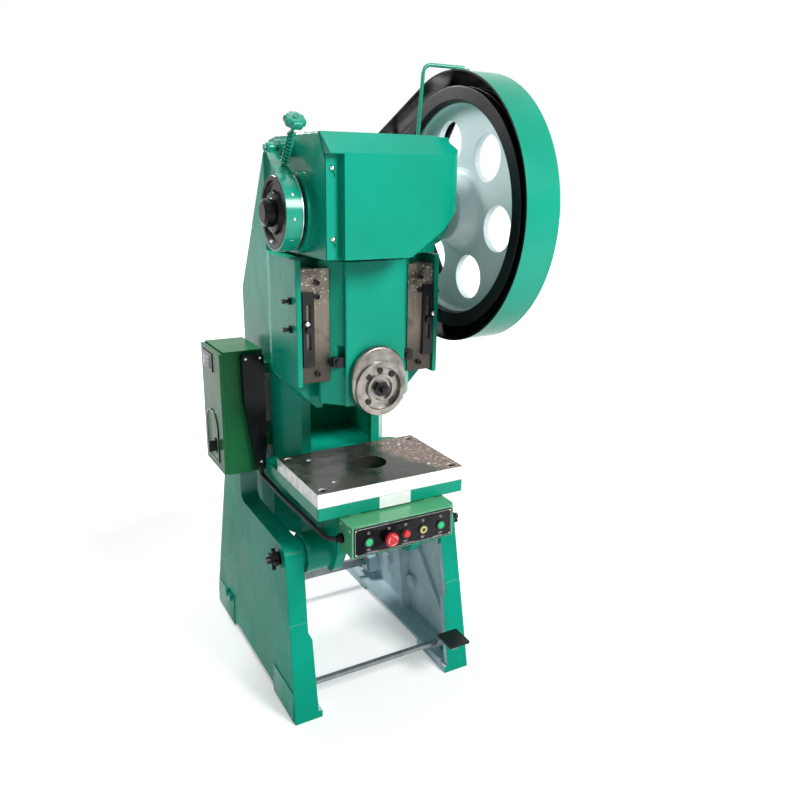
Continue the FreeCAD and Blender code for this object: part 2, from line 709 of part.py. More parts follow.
clamp_z = 949
clamp_front = d.slideFront - 34
clamp_angles = (45, 90, 135, 225, 315)
clamp_spots = [(50 * math.cos(math.radians(a)), clamp_z + 50 * math.sin(math.radians(a))) for a in clamp_angles]


def die_clamp():
    """The clamp that grips the die's shank: half the bore behind a round cap with a ring groove."""
    seat = block((-61.5, 61.5), ("slideFront", "crankY - 0.5"), ("slideBottom", 989))
    cap = rod("y", (0, clamp_z), 75, clamp_front, "slideFront")
    groove = cut(rod("y", (0, clamp_z), 60, clamp_front - 1, clamp_front + 12),
                 rod("y", (0, clamp_z), 40.5, clamp_front - 2, clamp_front + 13))
    dish = rod("y", (0, clamp_z), 33, clamp_front - 1, clamp_front + 8)
    shank = rod("z", (0, "crankY"), "shankRadius", "slideBottom - 1", "slideBottom + shankDepth")
    holes = [rod("y", (x, z), 5.1, clamp_front + 2, "slideFront - 1") for x, z in clamp_spots]
    return cut(fuse(seat, cap), groove, dish, shank, *holes)


node("die_clamp", die_clamp())

clamp_nuts = []
for x, z in clamp_spots:
    clamp_nuts.append(hex_bolt(Vector(x, clamp_front + 12, z), Vector(0, -1, 0), 5, 18))
set_screw = Vector(0, clamp_front + 8, clamp_z)
square_end = Part.makeBox(14, 20, 14, set_screw + Vector(-7, -30, -7))
clamp_nuts.append(hex_bar(set_screw, Vector(0, -1, 0), 38, 14).fuse(square_end))
shape_node("clamp_nuts", clamp_nuts)

knock_bar = prism("y", [(-122, 1009, 3), (122, 1009, 3), (122, 1037, 3), (-122, 1037, 3)], -284, -265)
bar_ends = [rod("y", (x, 1023), 9, -290, -284) for x in (-107, 107)]
node("knockout_bar", fuse(knock_bar, *bar_ends))


# ---- crank train --------------------------------------------------------------

def crankshaft():
    """The shaft with its two webs and the offset pin, at the top of the stroke."""
    journal = "journalRadius"
    main = [
        rod("x", ("crankY", "crankZ"), journal, "drumFace + 4", -50),
        rod("x", ("crankY", "crankZ"), journal, 50, "rimRight + 6"),
        rod("x", ("crankY", "crankZ + throw"), "pinRadius", -50, 50),
    ]
    web = [(d.crankY - 48, d.crankZ - 48, 30), (d.crankY + 48, d.crankZ - 48, 30),
           (d.crankY + 52, d.crankZ + 60, 40), (d.crankY - 52, d.crankZ + 60, 40)]
    webs = [prism("x", web, -74, -46), prism("x", web, 46, 74)]
    return fuse(*main, *webs)


node("crankshaft", crankshaft())


def bush(low, high):
    """A bronze bush with a running gap on the journal."""
    return cut(rod("x", ("crankY", "crankZ"), "journalRadius + 10", low, high),
               rod("x", ("crankY", "crankZ"), "journalRadius + 0.06", f"({low}) - 5", f"({high}) + 5"))


node("crank_bushes", fuse(bush("-headHalf - 22", "-headHalf + headWall + 20"),
                          bush("headHalf - headWall - 20", "headHalf + 30")))

rod_pin = d.crankZ + d.throw
connecting_rod = cut(
    fuse(rod("x", ("crankY", "crankZ + throw"), 68, -42, 42),
         rod("z", (0, "crankY"), 29, 1290, "crankZ + throw - 50")),
    rod("x", ("crankY", "crankZ + throw"), "pinRadius + 0.06", -60, 60),
    rod("z", (0, "crankY"), 22, 1280, 1370),
)
node("connecting_rod", connecting_rod)

ball = fresh("Part::Sphere", "Ball")
tie(ball, Radius=27, Placement__Base__y="crankY", Placement__Base__z="crankZ + throw - rodLength")
node("ball_screw", fuse(rod("z", (0, "crankY"), 21.95, "crankZ + throw - rodLength", 1360), ball))

drum = new_body("brake_drum")
revolve(drum, [
    (4, d.journalRadius), (4, 0.01), (-28, 0.01), (-28, 24, 6), (-22, 34), (-4, 36), (-2, 50, 3), (9, 54, 4),
    (9, 74, 4), (0, 78), (0, d.drumRadius, 2), (d.drumWidth, d.drumRadius, 2), (d.drumWidth, 80), (24, 76),
    (24, 56), (d.drumWidth, 50), (d.drumWidth, d.journalRadius),
])
stand_at(drum, "drumFace", "crankY", "crankZ")


def flywheel():
    """Spoked only by round holes: a rim with belt grooves, a dished web, a tapered hub."""
    body = new_body("flywheel")
    web, thick, rim = d.webFace, d.webThick, d.rimRadius
    profile = [
        (250, d.journalRadius + 0.06), (250, 78, 4), (262, 84), (web - 4, 104, 14), (web, 118),
        (web, d.webRadius - 8, 8), (d.rimLeft + 2, d.webRadius), (d.rimLeft, d.webRadius + 4), (d.rimLeft, rim, 2),
    ]
    middle = (d.rimLeft + d.rimRight) / 2
    for k in (-1, 0, 1):
        at = middle + k * d.beltPitch
        half = d.beltWidth / 2
        profile += [(at - half - 1.5, rim), (at - half + 1, rim - d.beltDepth - 4),
                    (at + half - 1, rim - d.beltDepth - 4), (at + half + 1.5, rim)]
    profile += [(d.rimRight, rim, 2), (d.rimRight, d.webRadius + 4), (d.rimRight - 2, d.webRadius),
                (web + thick, d.webRadius - 8, 8), (web + thick, 112, 10), (d.rimRight - 6, 88, 6),
                (d.rimRight - 6, d.journalRadius + 0.06)]
    revolve(body, profile)
    spot = face_sketch(body, "YZ_Plane", web - 30)
    turn = math.radians(d.holeTurn)
    draw_circle(spot, d.holeCircle * math.cos(turn), d.holeCircle * math.sin(turn), "holeRadius")
    hole = pocket(body, spot, 90, reverse=True)
    spread(body, hole, 6)
    stand_at(body, 0, "crankY", "crankZ")


flywheel()

pulley = new_body("motor_pulley")
pulley_profile = [(d.rimLeft + 2, 14), (d.rimLeft + 2, d.pulleyRadius, 1)]
for k in (-1, 0, 1):
    groove = (d.rimLeft + d.rimRight) / 2 + k * d.beltPitch
    half_width = d.beltWidth / 2
    pulley_profile += [
        (groove - half_width - 1.5, d.pulleyRadius), (groove - half_width + 1, d.pulleyRadius - d.beltDepth - 4),
        (groove + half_width - 1, d.pulleyRadius - d.beltDepth - 4), (groove + half_width + 1.5, d.pulleyRadius),
    ]
pulley_profile += [(d.rimRight - 2, d.pulleyRadius, 1), (d.rimRight - 2, 14)]
revolve(pulley, pulley_profile)
stand_at(pulley, 0, "motorY", "motorZ")

node("motor_shaft", rod("x", ("motorY", "motorZ"), 14, 220, "rimRight + 2"))

belts = []
for k in (-1, 0, 1):
    low = (d.rimLeft + d.rimRight) / 2 + k * d.beltPitch - d.beltWidth / 2 + 1.5
    outer = loop_round(d.rimRadius - 1, d.pulleyRadius - 1)
    inner = loop_round(d.rimRadius - 1 - d.beltDepth, d.pulleyRadius - 1 - d.beltDepth)
    band = outer.cut(inner).extrude(Vector(d.beltWidth - 3, 0, 0))
    band.translate(Vector(low, 0, 0))
    belts.append(band)
shape_node("v_belts", belts)


# ---- brake ---------------------------------------------------------------------

band_width = ("drumFace + 1", "drumFace + drumWidth - 3")
past_band = ("drumFace - 5", "drumFace + drumWidth + 5")
band_ring = cut(rod("x", ("crankY", "crankZ"), "drumRadius + bandThick + 0.4", *band_width),
                rod("x", ("crankY", "crankZ"), "drumRadius + 0.4", *past_band))
opening = prism("x", [along_strap(0, -40), along_strap(0, 40), (-95, 1560), (-95, d.crankZ + 20),
                      (-165, d.crankZ + 20)], *past_band)
anchor = prism("x", [(d.crankY + band_in + 1, d.crankZ + 6), (d.crankY + band_in + 26, d.crankZ + 6),
                     (d.crankY + band_in + 26, d.crankZ + 20), (d.crankY + band_in + 1, d.crankZ + 20)],
               "drumFace + 10", "-headHalf - 22")
node("brake_band", fuse(cut(band_ring, opening), anchor))


def brake_strap():
    """A flat strap that leaves the band as its tangent and narrows to an eye at the pin."""
    side = [along_strap(0, -6), along_strap(0, 0), along_strap(140, 0), along_strap(140, -6)]
    strap = prism("x", side, "drumFace + 2", "drumFace + drumWidth - 2")
    start, end = strap_start.y, lug_pin_spot.y
    outline = [(-254, start - 10), (-214, start - 10), (-214, start + 50), (-216, end), (-238, end), (-246, start + 60)]
    taper = prism("z", outline, 1460, 1620)
    eye = rod("x", (lug_pin_spot.y, lug_pin_spot.z), 13, -238, -216)
    pivot = rod("x", (lug_pin_spot.y, lug_pin_spot.z), 8, -260, -200)
    return cut(fuse(common(strap, taper), eye), pivot)


node("brake_strap", brake_strap())
node("brake_pivot_pin", rod("x", (lug_pin_spot.y, lug_pin_spot.z), 7.95, -244, -197))

rod_foot = strap_start + strap_way * 57 + Vector(-222, 0, 0)
rod_way = Vector(0, -math.sin(math.radians(d.rodLean)), math.cos(math.radians(d.rodLean)))
knob_foot = rod_foot + rod_way * 112
spring_turn = Rotation(Vector(0, 0, 1), rod_way)
seat_collar = round_bar(rod_foot - rod_way * 2, rod_foot + rod_way * 6, 7.5)
top_collar = round_bar(knob_foot - rod_way * 20, knob_foot - rod_way * 16, 8.5)
rod_bar = round_bar(rod_foot - rod_way * 2, knob_foot + rod_way * 30, 4).fuse([seat_collar, top_collar])
under_strap = Part.makeBox(40, 60, 20)
under_strap.Placement = Placement(rod_foot + Vector(-20, 0, 0) - strap_way * 30 - band_normal * 20,
                                  Rotation(Vector(1, 0, 0), d.brakeLean))
shape_node("brake_rod", [rod_bar.cut(under_strap)])

spring_height, spring_radius, spring_wire_radius, spring_turns = 82, 6.6, 1.4, 10
spring_solid = tube_along(spring_wire(spring_height, spring_radius, spring_turns), spring_wire_radius)
spring_solid.Placement = Placement(rod_foot + rod_way * 7.8, spring_turn)
shape_node("brake_spring", [spring_solid])
pitch = spring_height / spring_turns
climb = math.atan(pitch / (2 * math.pi * spring_radius))
print(f"spring: least gap between curls {pitch * math.cos(climb) - 2 * spring_wire_radius:.2f} mm")


def star_knob():
    """An eight-lobed hand knob on the brake's spring rod."""
    body = new_body("brake_knob")
    revolve(body, [(0, 4.08), (0, 11, 2), (8, 13, 2), (10, 25, 3), (20, 25, 4), (25, 14, 4), (30, 9, 3), (30, 4.08)])
    lobe = face_sketch(body, "YZ_Plane", 9)
    draw_circle(lobe, 24, 0, 7)
    arm = pad(body, lobe, 11)
    spread(body, arm, 8)
    body.Placement = Placement(knob_foot, Rotation(Vector(1, 0, 0), rod_way))


star_knob()


# ---- covers and guard -----------------------------------------------------------

def cover_outline(inset):
    """Front view of the sheet cover: square at the left, cut away below its rounded right end."""
    base = d.headBottom + 2
    right = d.coverRight - inset
    top = d.headTop + 3 - inset
    return [(-179, base - 2 * inset), (42 - inset, base - 2 * inset, 16), (136 - inset, base + 66, 40),
            (right, base + 126, 24), (right, top, 56), (-179, top)]


def cover_body(inset, back):
    """The cover as a solid: its side view, its front view and its plan, shared."""
    front = d.headFront - d.panelStep + inset
    chamfer = d.chamferZ - inset / 2
    side = [(front, 1280), (front, chamfer), (-346 + inset / 2, d.headTop + 3 - inset),
            (back, d.headTop + 3 - inset), (back, 1280)]
    corner = 30 - inset
    plan = [(-190, front), (d.coverRight - inset, front, corner), (d.coverRight - inset, back), (-190, back)]
    return common(prism("x", side, -179, 240), prism("y", cover_outline(inset), -420, -240),
                  prism("z", plan, 1290, 1610))


def front_cover():
    t = d.sheetThick
    step = d.headFront - d.panelStep
    base = d.headBottom + 2
    head = prism("x", [(-420, 1280), (-420, 1281), (d.headFront, 1281), (d.headFront, 1540), (-343, d.headTop + 0.02),
                       (-200, d.headTop + 0.02), (-200, 1280)], -190, "headHalf + 0.6")
    left_zone = block((-190, -142), (-420, -300), (1280, "chamferZ - 4"))
    shell = cut(cover_body(0, -250), cover_body(t, -200), head, left_zone)
    flange = block((-179, -139), (d.headFront - t, "headFront"), (base, "chamferZ - 1"))
    panel_side = block((-142, -139), (step + 1, "headFront"), (base, "chamferZ - 1"))
    shelf = block((-179, -139), (step + 2, -374), ("chamferZ - 4", "chamferZ - 1"))
    end_plate = prism("x", [(step + 2, d.chamferZ - 3), (-347, d.headTop + 0.5), (-344, d.headTop),
                            (-371, d.chamferZ - 3)], -179, -176)
    holes = [rod("y", (-163, z), 3.4, -400, -370) for z in (1356, 1520)]
    keyholes = [rod("y", (-163, z - 15), 7, -400, -370) for z in (1356, 1520)]
    slots = [block((-165.4, -160.6), (-400, -370), (z - 12, z)) for z in (1356, 1520)]
    bearing_notch = rod("x", ("crankY", "crankZ"), 96, 176, 260)
    return cut(fuse(shell, flange, panel_side, shelf, end_plate), bearing_notch, *holes, *keyholes, *slots)


node("front_cover", front_cover())

cover_screws = []
for z in (1356, 1520):
    head = Part.makeSphere(6.8, Vector(-163, d.headFront - 3, z), Vector(0, -1, 0), 0, 90, 360)
    stem = Part.makeCylinder(2.95, 14, Vector(-163, d.headFront - 3.5, z), Vector(0, 1, 0))
    cover_screws.append(head.fuse(stem))
shape_node("cover_screws", cover_screws)


def belt_guard():
    """A teardrop band of sheet with a narrow rim at the outer side and two crossed stays."""
    left, right, t = d.guardLeft, d.guardRight, d.sheetThick
    outer = teardrop(0).extrude(Vector(right - left, 0, 0))
    inner = teardrop(-t).extrude(Vector(right - left + 2, 0, 0))
    inner.translate(Vector(-1, 0, 0))
    band = outer.cut(inner)
    lip = teardrop(-1).cut(teardrop(-26)).extrude(Vector(t, 0, 0))
    lip.translate(Vector(right - left - t, 0, 0))
    bead = teardrop(2).cut(teardrop(-1)).extrude(Vector(6, 0, 0))
    stays = []
    for up in (-1, 1):
        start = Vector(0, -165, d.crankZ + up * 345)
        end = Vector(0, 236, d.crankZ - up * 168)
        along = (end - start)
        bar = Part.makeBox(t, 34, along.Length, Vector(0, -17, 0))
        bar.Placement = Placement(start, Rotation(Vector(0, 0, 1), along))
        # The flat side of each stay lies in the guard's outer face.
        turn = Rotation(Vector(1, 0, 0), math.degrees(math.atan2(-along.y, along.z)))
        bar.Placement = Placement(start, turn)
        bar.translate(Vector(right - left - t, 0, 0))
        stays.append(bar)
    stays = [bar.common(outer) for bar in stays]
    whole = band.fuse([lip, bead] + stays)
    whole.translate(Vector(left, 0, 0))
    return whole.removeSplitter()


shape_node("belt_guard", [belt_guard()])

bracket_wire = bent_wire([Vector(164, -215, 1601), Vector(178, -216, 1786), Vector(296, -228, 1784.5)], 22)
bracket_bar = tube_along(bracket_wire, 5)
bracket_foot = Part.makeCylinder(11, 8, Vector(164, -215, d.headTop))
guard_tab = Part.makeBox(40, 22, 4, Vector(270, -236, d.crankZ + d.guardRadius + 2.2))
shape_node("guard_bracket", [bracket_bar.fuse([bracket_foot, guard_tab])])


# ---- motor -----------------------------------------------------------------------

def motor():
    """A finned squirrel-cage motor lying across the back, on feet, with its terminal box."""
    body = new_body("motor")
    revolve(body, [(26, 20), (26, 80, 6), (36, 94), (58, 94), (58, d.motorRadius), (200, d.motorRadius),
                   (200, 94), (214, 94, 4), (226, 60, 12), (241, 34, 4), (241, 14.3), (218, 14.3), (218, 20)])
    fin = face_sketch(body, "XY_Plane", "motorRadius - 2")
    draw(fin, [(57, -2), (201, -2), (201, 2), (57, 2)])
    spread(body, pad(body, fin, 11), 24)
    feet = face_sketch(body, "YZ_Plane", 64)
    draw(feet, [(-80, -100), (-40, -100), (-30, -84), (30, -84), (40, -100), (80, -100), (80, -88),
                (58, -60), (-58, -60), (-80, -88)])
    pad(body, feet, 130)
    lid = face_sketch(body, "XY_Plane", 80)
    draw(lid, [(80, -44, 8), (170, -44, 8), (170, 44, 8), (80, 44, 8)])
    pad(body, lid, 56)
    stand_at(body, 0, "motorY", "motorZ")


motor()

fan_cover = new_body("fan_cover")
revolve(fan_cover, [(-28, 12), (-28, 78, 10), (-16, 97, 8), (52, 97), (52, 94.05), (-13, 94.05, 6), (-25, 77),
                    (-25, 12)])
slit = face_sketch(fan_cover, "YZ_Plane", -30)
draw(slit, [(30, -3), (70, -3), (70, 3), (30, 3)])
spread(fan_cover, pocket(fan_cover, slit, 8, reverse=True), 12)
stand_at(fan_cover, 0, "motorY", "motorZ")


def motor_bracket():
    """A welded shelf on the sloping back: a seat plate, two gussets and the shelf."""
    foot_z, head_z = 1196, 1340
    slope = [(rear_edge(foot_z) + 0.02, foot_z), (rear_edge(foot_z) + 14, foot_z + 8),
             (rear_edge(head_z) + 14, head_z + 8), (rear_edge(head_z) + 0.02, head_z)]
    seat = prism("x", slope, -46, 214)
    shelf = block((-46, 214), (rear_edge(1306) + 0.02, 540), (1306, 1318))
    gusset = [(rear_edge(foot_z) + 10, foot_z + 8), (rear_edge(1306) + 8, 1310), (520, 1310, 4), (520, 1290, 10)]
    gussets = [prism("x", gusset, x, x + 10) for x in (-40, 198)]
    slots = [block((x, x + 26), (y, y + 12), (1300, 1325)) for x in (66, 156) for y in (366, 502)]
    bolt_holes = []
    for point in seat_bolts:
        hole = fresh("Part::Cylinder", "Hole")
        hole.Radius = 6.1
        hole.Height = 40
        hole.Placement = Placement(point - slope_out * 20, Rotation(Vector(0, 0, 1), slope_out))
        bolt_holes.append(hole)
    return cut(fuse(seat, shelf, *gussets), *slots, *bolt_holes)


slope_out = Vector(0, d.ridgeZ - d.kneeZ, d.wallBack - d.ridgeY).normalize()
seat_bolts = [Vector(x, rear_edge(1226), 1226) for x in (-8, 78, 164)]
node("motor_bracket", motor_bracket())

bracket_bolts = []
for point in seat_bolts:
    bracket_bolts.append(hex_bolt(point + slope_out * 18, slope_out, 6, 17.9))
for x in (79, 169):
    for y in (372, 508):
        bracket_bolts.append(hex_bar(Vector(x, y, 1306), Vector(0, 0, -1), 16, 8))
shape_node("motor_bolts", bracket_bolts)


# ---- console, electric box, cable ---------------------------------------------------

hood_half = d.consoleHalf + d.hoodReach
hood_front = d.panelFront - d.hoodReach
console_plan = [(-hood_half, hood_front, 24), (hood_half, hood_front, 24), (hood_half, d.consoleBack),
                (-hood_half, d.consoleBack)]
console_shell = block(("-consoleHalf", "consoleHalf"), ("panelFront", "consoleBack"),
                      ("consoleBottom", "consoleTop"))
console_room = block(("-consoleHalf + 2", "consoleHalf - 2"), ("panelFront + 2", "consoleBack - 2"),
                     ("consoleBottom + 2", "consoleTop"))
button_places = {"start_button_left": -108, "emergency_stop": -47, "stop_button": 4, "key_switch": 58,
                 "start_button_right": 115}
console_holes = [rod("y", (x, "panelZ"), 11, "panelFront - 5", "panelFront + 5") for x in button_places.values()]
cable_hole = rod("x", (-404, 572), 8, -170, -150)
console_hood = prism("z", console_plan, "consoleTop", "consoleTop + 3")
console_hangers = [block((x, x + 30), (-400, "consoleBack"), ("consoleTop + 3", "tableTop - tableEdge"))
                   for x in (-130, 100)]
node("control_box", cut(fuse(cut(console_shell, console_room), console_hood, *console_hangers),
                        *console_holes, cable_hole))

panel = new_body("control_panel")
panel_sketch = face_sketch(panel, "XZ_Plane", "-panelFront")
panel_low, panel_high = d.consoleBottom + 3, d.consoleTop - 5
draw(panel_sketch, [(-151, panel_low, 3), (151, panel_low, 3), (151, panel_high, 3), (-151, panel_high, 3)])
pad(panel, panel_sketch, 2)
panel_holes = face_sketch(panel, "XZ_Plane", "-panelFront + 2")
for x in button_places.values():
    draw_circle(panel_holes, x, d.panelZ, 11)
pocket(panel, panel_holes, 4)

bezels = []
for name, x in button_places.items():
    wide = 14.6 if name != "emergency_stop" else 13
    front = Vector(x, d.panelFront - 2, d.panelZ)
    outward, inward = Vector(0, -1, 0), Vector(0, 1, 0)
    ring = Part.makeCylinder(wide, 4, front, outward).cut(Part.makeCylinder(10.6, 12, front, outward))
    barrel = Part.makeCylinder(10.9, 24, front, inward).cut(Part.makeCylinder(10.6, 24, front, inward))
    block_back = Part.makeBox(28, 26, 34, Vector(x - 14, d.panelFront + 22, d.panelZ - 17))
    bezels.append(ring.fuse([barrel, block_back]))
shape_node("button_bodies", bezels)


def push_button(name, x, cap):
    """A turned cap whose (along, radius) outline starts at the panel."""
    body = new_body(name)
    revolve(body, cap)
    stand_at(body, x, "panelFront - 2", "panelZ", Rotation(Vector(0, 0, 1), -90))


flat_cap = [(-12, 0.01), (-12, 10.3), (5, 10.3, 1.5), (5, 0.01)]
raised_cap = [(-12, 0.01), (-12, 10.3), (8, 10.3), (9.5, 8.8), (10, 0.01)]
mushroom = [(-12, 0.01), (-12, 10.3), (11, 10.3), (12, d.mushroomRadius - 1), (18, d.mushroomRadius),
            (21, d.mushroomRadius - 2), (23.5, 14), (25, 7), (25, 0.01)]
push_button("start_button_left", button_places["start_button_left"], flat_cap)
push_button("start_button_right", button_places["start_button_right"], flat_cap)
push_button("stop_button", button_places["stop_button"], raised_cap)
push_button("emergency_stop", button_places["emergency_stop"], mushroom)
key_body = rod("y", (button_places["key_switch"], "panelZ"), 10.3, "panelFront - 8", "panelFront + 10")
key_x = button_places["key_switch"]
key_slot = block((key_x - 1, key_x + 1), ("panelFront - 9", "panelFront - 4"), ("panelZ - 5", "panelZ + 5"))
node("key_switch", cut(key_body, key_slot))

box_shell = block(("-boxOut", "-boxIn"), ("boxFront", "boxBack"), ("boxBottom", "boxTop"))
box_room = block(("-boxOut - 1", "-boxIn - 2"), ("boxFront + 2", "boxBack - 2"), ("boxBottom + 2", "boxTop - 2"))
standoffs = [block(("-boxIn", "-wallHalf"), (40, 180), (z, z + 30)) for z in (700, 930)]
node("electric_box", fuse(cut(box_shell, box_room), *standoffs))

door_plan = [(d.boxFront - 3, d.boxBottom + 2, 6), (d.boxBack + 3, d.boxBottom + 2, 6),
             (d.boxBack + 3, d.boxTop - 4, 6), (d.boxFront - 3, d.boxTop - 4, 6)]
door_face = prism("x", door_plan, "-boxOut - 12", "-boxOut - 0.5")
door_room = prism("x", [(d.boxFront, d.boxBottom + 5, 4), (d.boxBack, d.boxBottom + 5, 4),
                        (d.boxBack, d.boxTop - 7, 4), (d.boxFront, d.boxTop - 7, 4)], "-boxOut - 10", "-boxOut")
knob_hole = rod("x", (92, 705), 6, -360, -330)
node("box_door", cut(door_face, door_room, knob_hole))

display_frame = [(86, 936, 3), (190, 936, 3), (190, 992, 3), (86, 992, 3)]
node("counter_display", fuse(prism("x", display_frame, "-boxOut - 15", "-boxOut - 12"),
                             block(("-boxOut - 10", "-boxOut - 1"), (96, 180), (944, 984))))

isolator = new_body("isolator_knob")
revolve(isolator, [(-14, 0.01), (-14, 5.7), (0.3, 5.7), (0.3, 24, 2), (6, 24, 2), (7, 16), (10, 14, 2), (10, 0.01)])
grip = face_sketch(isolator, "XY_Plane", -16)
draw(grip, [(6, -5, 2), (24, -4, 2), (24, 4, 2), (6, 5, 2)])
pad(isolator, grip, 32)
stand_at(isolator, "-boxOut - 12", 92, 705, Rotation(Vector(0, 0, 1), 180))

gear_plate = Part.makeBox(2, 160, 340, Vector(-d.boxIn - 6, d.boxFront + 13, d.boxBottom + 18))
contactors = [Part.makeBox(52, 44, 62, Vector(-d.boxIn - 58, y, 880)) for y in (38, 88, 138)]
transformer = Part.makeBox(60, 90, 74, Vector(-d.boxIn - 66, 60, 780))
terminals = Part.makeBox(30, 140, 36, Vector(-d.boxIn - 36, 40, 665))
shape_node("control_gear", [gear_plate.fuse(contactors + [transformer, terminals])])

shroud_profile = [(-286, 1000, 10), (-221, 1000, 10), (-220, 720, 30), (-229, 650, 6), (-252, 650, 8),
                  (-262, 720, 60), (-284, 860, 60)]
node("cable_shroud", prism("y", shroud_profile, "boxFront - 26", "boxFront"))

cable_points = [
    Vector(-156, -404, 572), Vector(-192, -404, 572), Vector(-206, -366, 584), Vector(-212, -318, 592),
    Vector(-219, -262, 598), Vector(-227, -200, 605), Vector(-231, -136, 610), Vector(-233, -74, 615),
    Vector(-236, -28, 619), Vector(-240, 2, 627), Vector(-240, 3, 649.6),
]
cable_wire = bent_wire(cable_points, None)
shape_node("control_cable", [tube_along(cable_wire, d.cableRadius)])

gland = new_body("cable_gland")
revolve(gland, [(0, 7.3), (0, 14, 1), (8, 14, 1), (11, 11), (18, 9), (18, 7.3)])
stand_at(gland, "-consoleHalf - 0.02", -404, 572, Rotation(Vector(0, 0, 1), 180))


# ---- treadle -------------------------------------------------------------------------

def treadle():
    """A flat bar hinged at the left leg; a cranked arm at its right end carries the pad."""
    wide = d.treadleWidth
    bar = block((-16, 442), (0, wide), (-6, 6))
    boss = rod("y", (0, 0), 15, 0, wide)
    rise = d.padZ - 7 - d.treadleZ
    arm = prism("x", [(wide, 6), (wide, -6), (-12, -6), (-44, rise - 7), (-112, rise - 7), (-112, rise),
                      (-50, rise), (-20, 6)], 420, 442)
    whole = cut(fuse(bar, boss, arm), rod("y", (0, 0), 6.1, -5, 40))
    stand_at(whole, "-treadleX", "treadleY", "treadleZ")
    return whole


node("treadle_bar", treadle())
node("pedal_pad", prism("z", [(176, -450, 2), (246, -450, 2), (246, -374, 2), (176, -374, 2)], "padZ - 7", "padZ"))
coil = tube_along(spring_wire(18, 9.5, 3), 1.6)
coil.Placement = Placement(Vector(-d.treadleX, d.treadleY + 35, d.treadleZ), Rotation(Vector(1, 0, 0), 90))
shape_node("treadle_spring", [coil])


# ---- check and write ------------------------------------------------------------------

doc.recompute()
faults = [thing.Name for thing in doc.Objects if {"Invalid", "Error"} & set(thing.State)]
if faults:
    raise RuntimeError(f"failed features: {faults}")
for piece in nodes:
    if piece.Shape.isNull() or not piece.Shape.isValid() or not piece.Shape.Solids:
        raise RuntimeError(f"bad shape: {piece.Label}")
os.makedirs("parts", exist_ok=True)
for piece in nodes:
    piece.Shape.exportStep(f"parts/{piece.Label}.step")
print(f"{len(nodes)} pieces written")
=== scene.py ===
import bpy
import math
from mathutils import Matrix, Vector


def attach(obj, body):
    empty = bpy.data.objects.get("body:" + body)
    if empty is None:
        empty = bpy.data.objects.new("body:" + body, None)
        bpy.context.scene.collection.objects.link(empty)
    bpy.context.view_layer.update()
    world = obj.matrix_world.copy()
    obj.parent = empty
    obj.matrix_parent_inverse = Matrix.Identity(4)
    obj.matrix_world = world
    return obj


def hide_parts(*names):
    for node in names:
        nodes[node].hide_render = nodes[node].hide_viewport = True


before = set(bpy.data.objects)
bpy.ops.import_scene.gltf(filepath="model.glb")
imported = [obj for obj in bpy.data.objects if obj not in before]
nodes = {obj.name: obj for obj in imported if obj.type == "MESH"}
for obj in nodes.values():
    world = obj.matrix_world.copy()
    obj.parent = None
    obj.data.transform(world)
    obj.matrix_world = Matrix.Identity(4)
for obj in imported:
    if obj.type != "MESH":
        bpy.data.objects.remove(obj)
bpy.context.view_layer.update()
crankLine = Vector((0, -0.225, 1.412))
print("stage: frame loaded")


# small helpers for the shader trees

def addNode(tree, kind, inputs=None, **settings):
    node = tree.nodes.new(kind)
    for key, value in settings.items():
        setattr(node, key, value)
    for key, value in (inputs or {}).items():
        if isinstance(value, bpy.types.NodeSocket):
            tree.links.new(value, node.inputs[key])
        else:
            node.inputs[key].default_value = value
    return node


def startFinish(name, roughness, metallic=0.0, shine=0.5):
    material = bpy.data.materials.new(name)
    material.use_nodes = True
    tree = material.node_tree
    shader = tree.nodes["Principled BSDF"]
    shader.inputs["Roughness"].default_value = roughness
    shader.inputs["Metallic"].default_value = metallic
    shader.inputs["Specular IOR Level"].default_value = shine
    place = addNode(tree, "ShaderNodeTexCoord")
    return material, tree, shader, place


def mixColours(tree, factor, first, second):
    node = addNode(tree, "ShaderNodeMix", data_type="RGBA")
    for socket, value in ((node.inputs["Factor"], factor), (node.inputs[6], first), (node.inputs[7], second)):
        if isinstance(value, bpy.types.NodeSocket):
            tree.links.new(value, socket)
        else:
            socket.default_value = (*value, 1) if isinstance(value, tuple) and len(value) == 3 else value
    return node.outputs[2]


def compute(tree, operation, first, second=0.0):
    return addNode(tree, "ShaderNodeMath", {0: first, 1: second}, operation=operation).outputs[0]


def ramp(tree, value, low, high):
    # 0 below low, 1 above high; a low that is the larger turns it round
    spread = addNode(tree, "ShaderNodeMapRange", {"Value": value, "From Min": low, "From Max": high})
    return spread.outputs["Result"]


def noiseBetween(tree, place, scale, low, high, detail=3.0):
    noise = addNode(tree, "ShaderNodeTexNoise", {"Vector": place.outputs["Object"], "Scale": scale, "Detail": detail})
    return ramp(tree, noise.outputs["Fac"], low, high)


def along(tree, place, direction, output="Object"):
    # how far a point, or how much a normal, lies along a direction
    return addNode(tree, "ShaderNodeVectorMath", {0: place.outputs[output], 1: direction},
                   operation="DOT_PRODUCT").outputs["Value"]


def facing(tree, place, direction, low, high):
    # 1 where the surface looks along a direction, 0 where it doesn't
    return ramp(tree, along(tree, place, direction, "Normal"), low, high)


def offsetFrom(tree, place, centre):
    return addNode(tree, "ShaderNodeVectorMath", {0: place.outputs["Object"], 1: tuple(centre)},
                   operation="SUBTRACT").outputs[0]


def fromAxis(tree, place, centre, plane):
    # offset from a line through a point, flattened into the plane across it, and its length
    flat = addNode(tree, "ShaderNodeVectorMath", {0: offsetFrom(tree, place, centre), 1: plane},
                   operation="MULTIPLY").outputs[0]
    return flat, addNode(tree, "ShaderNodeVectorMath", {0: flat}, operation="LENGTH").outputs["Value"]


def colourInto(tree, shader, colour):
    tree.links.new(colour, shader.inputs["Base Color"])


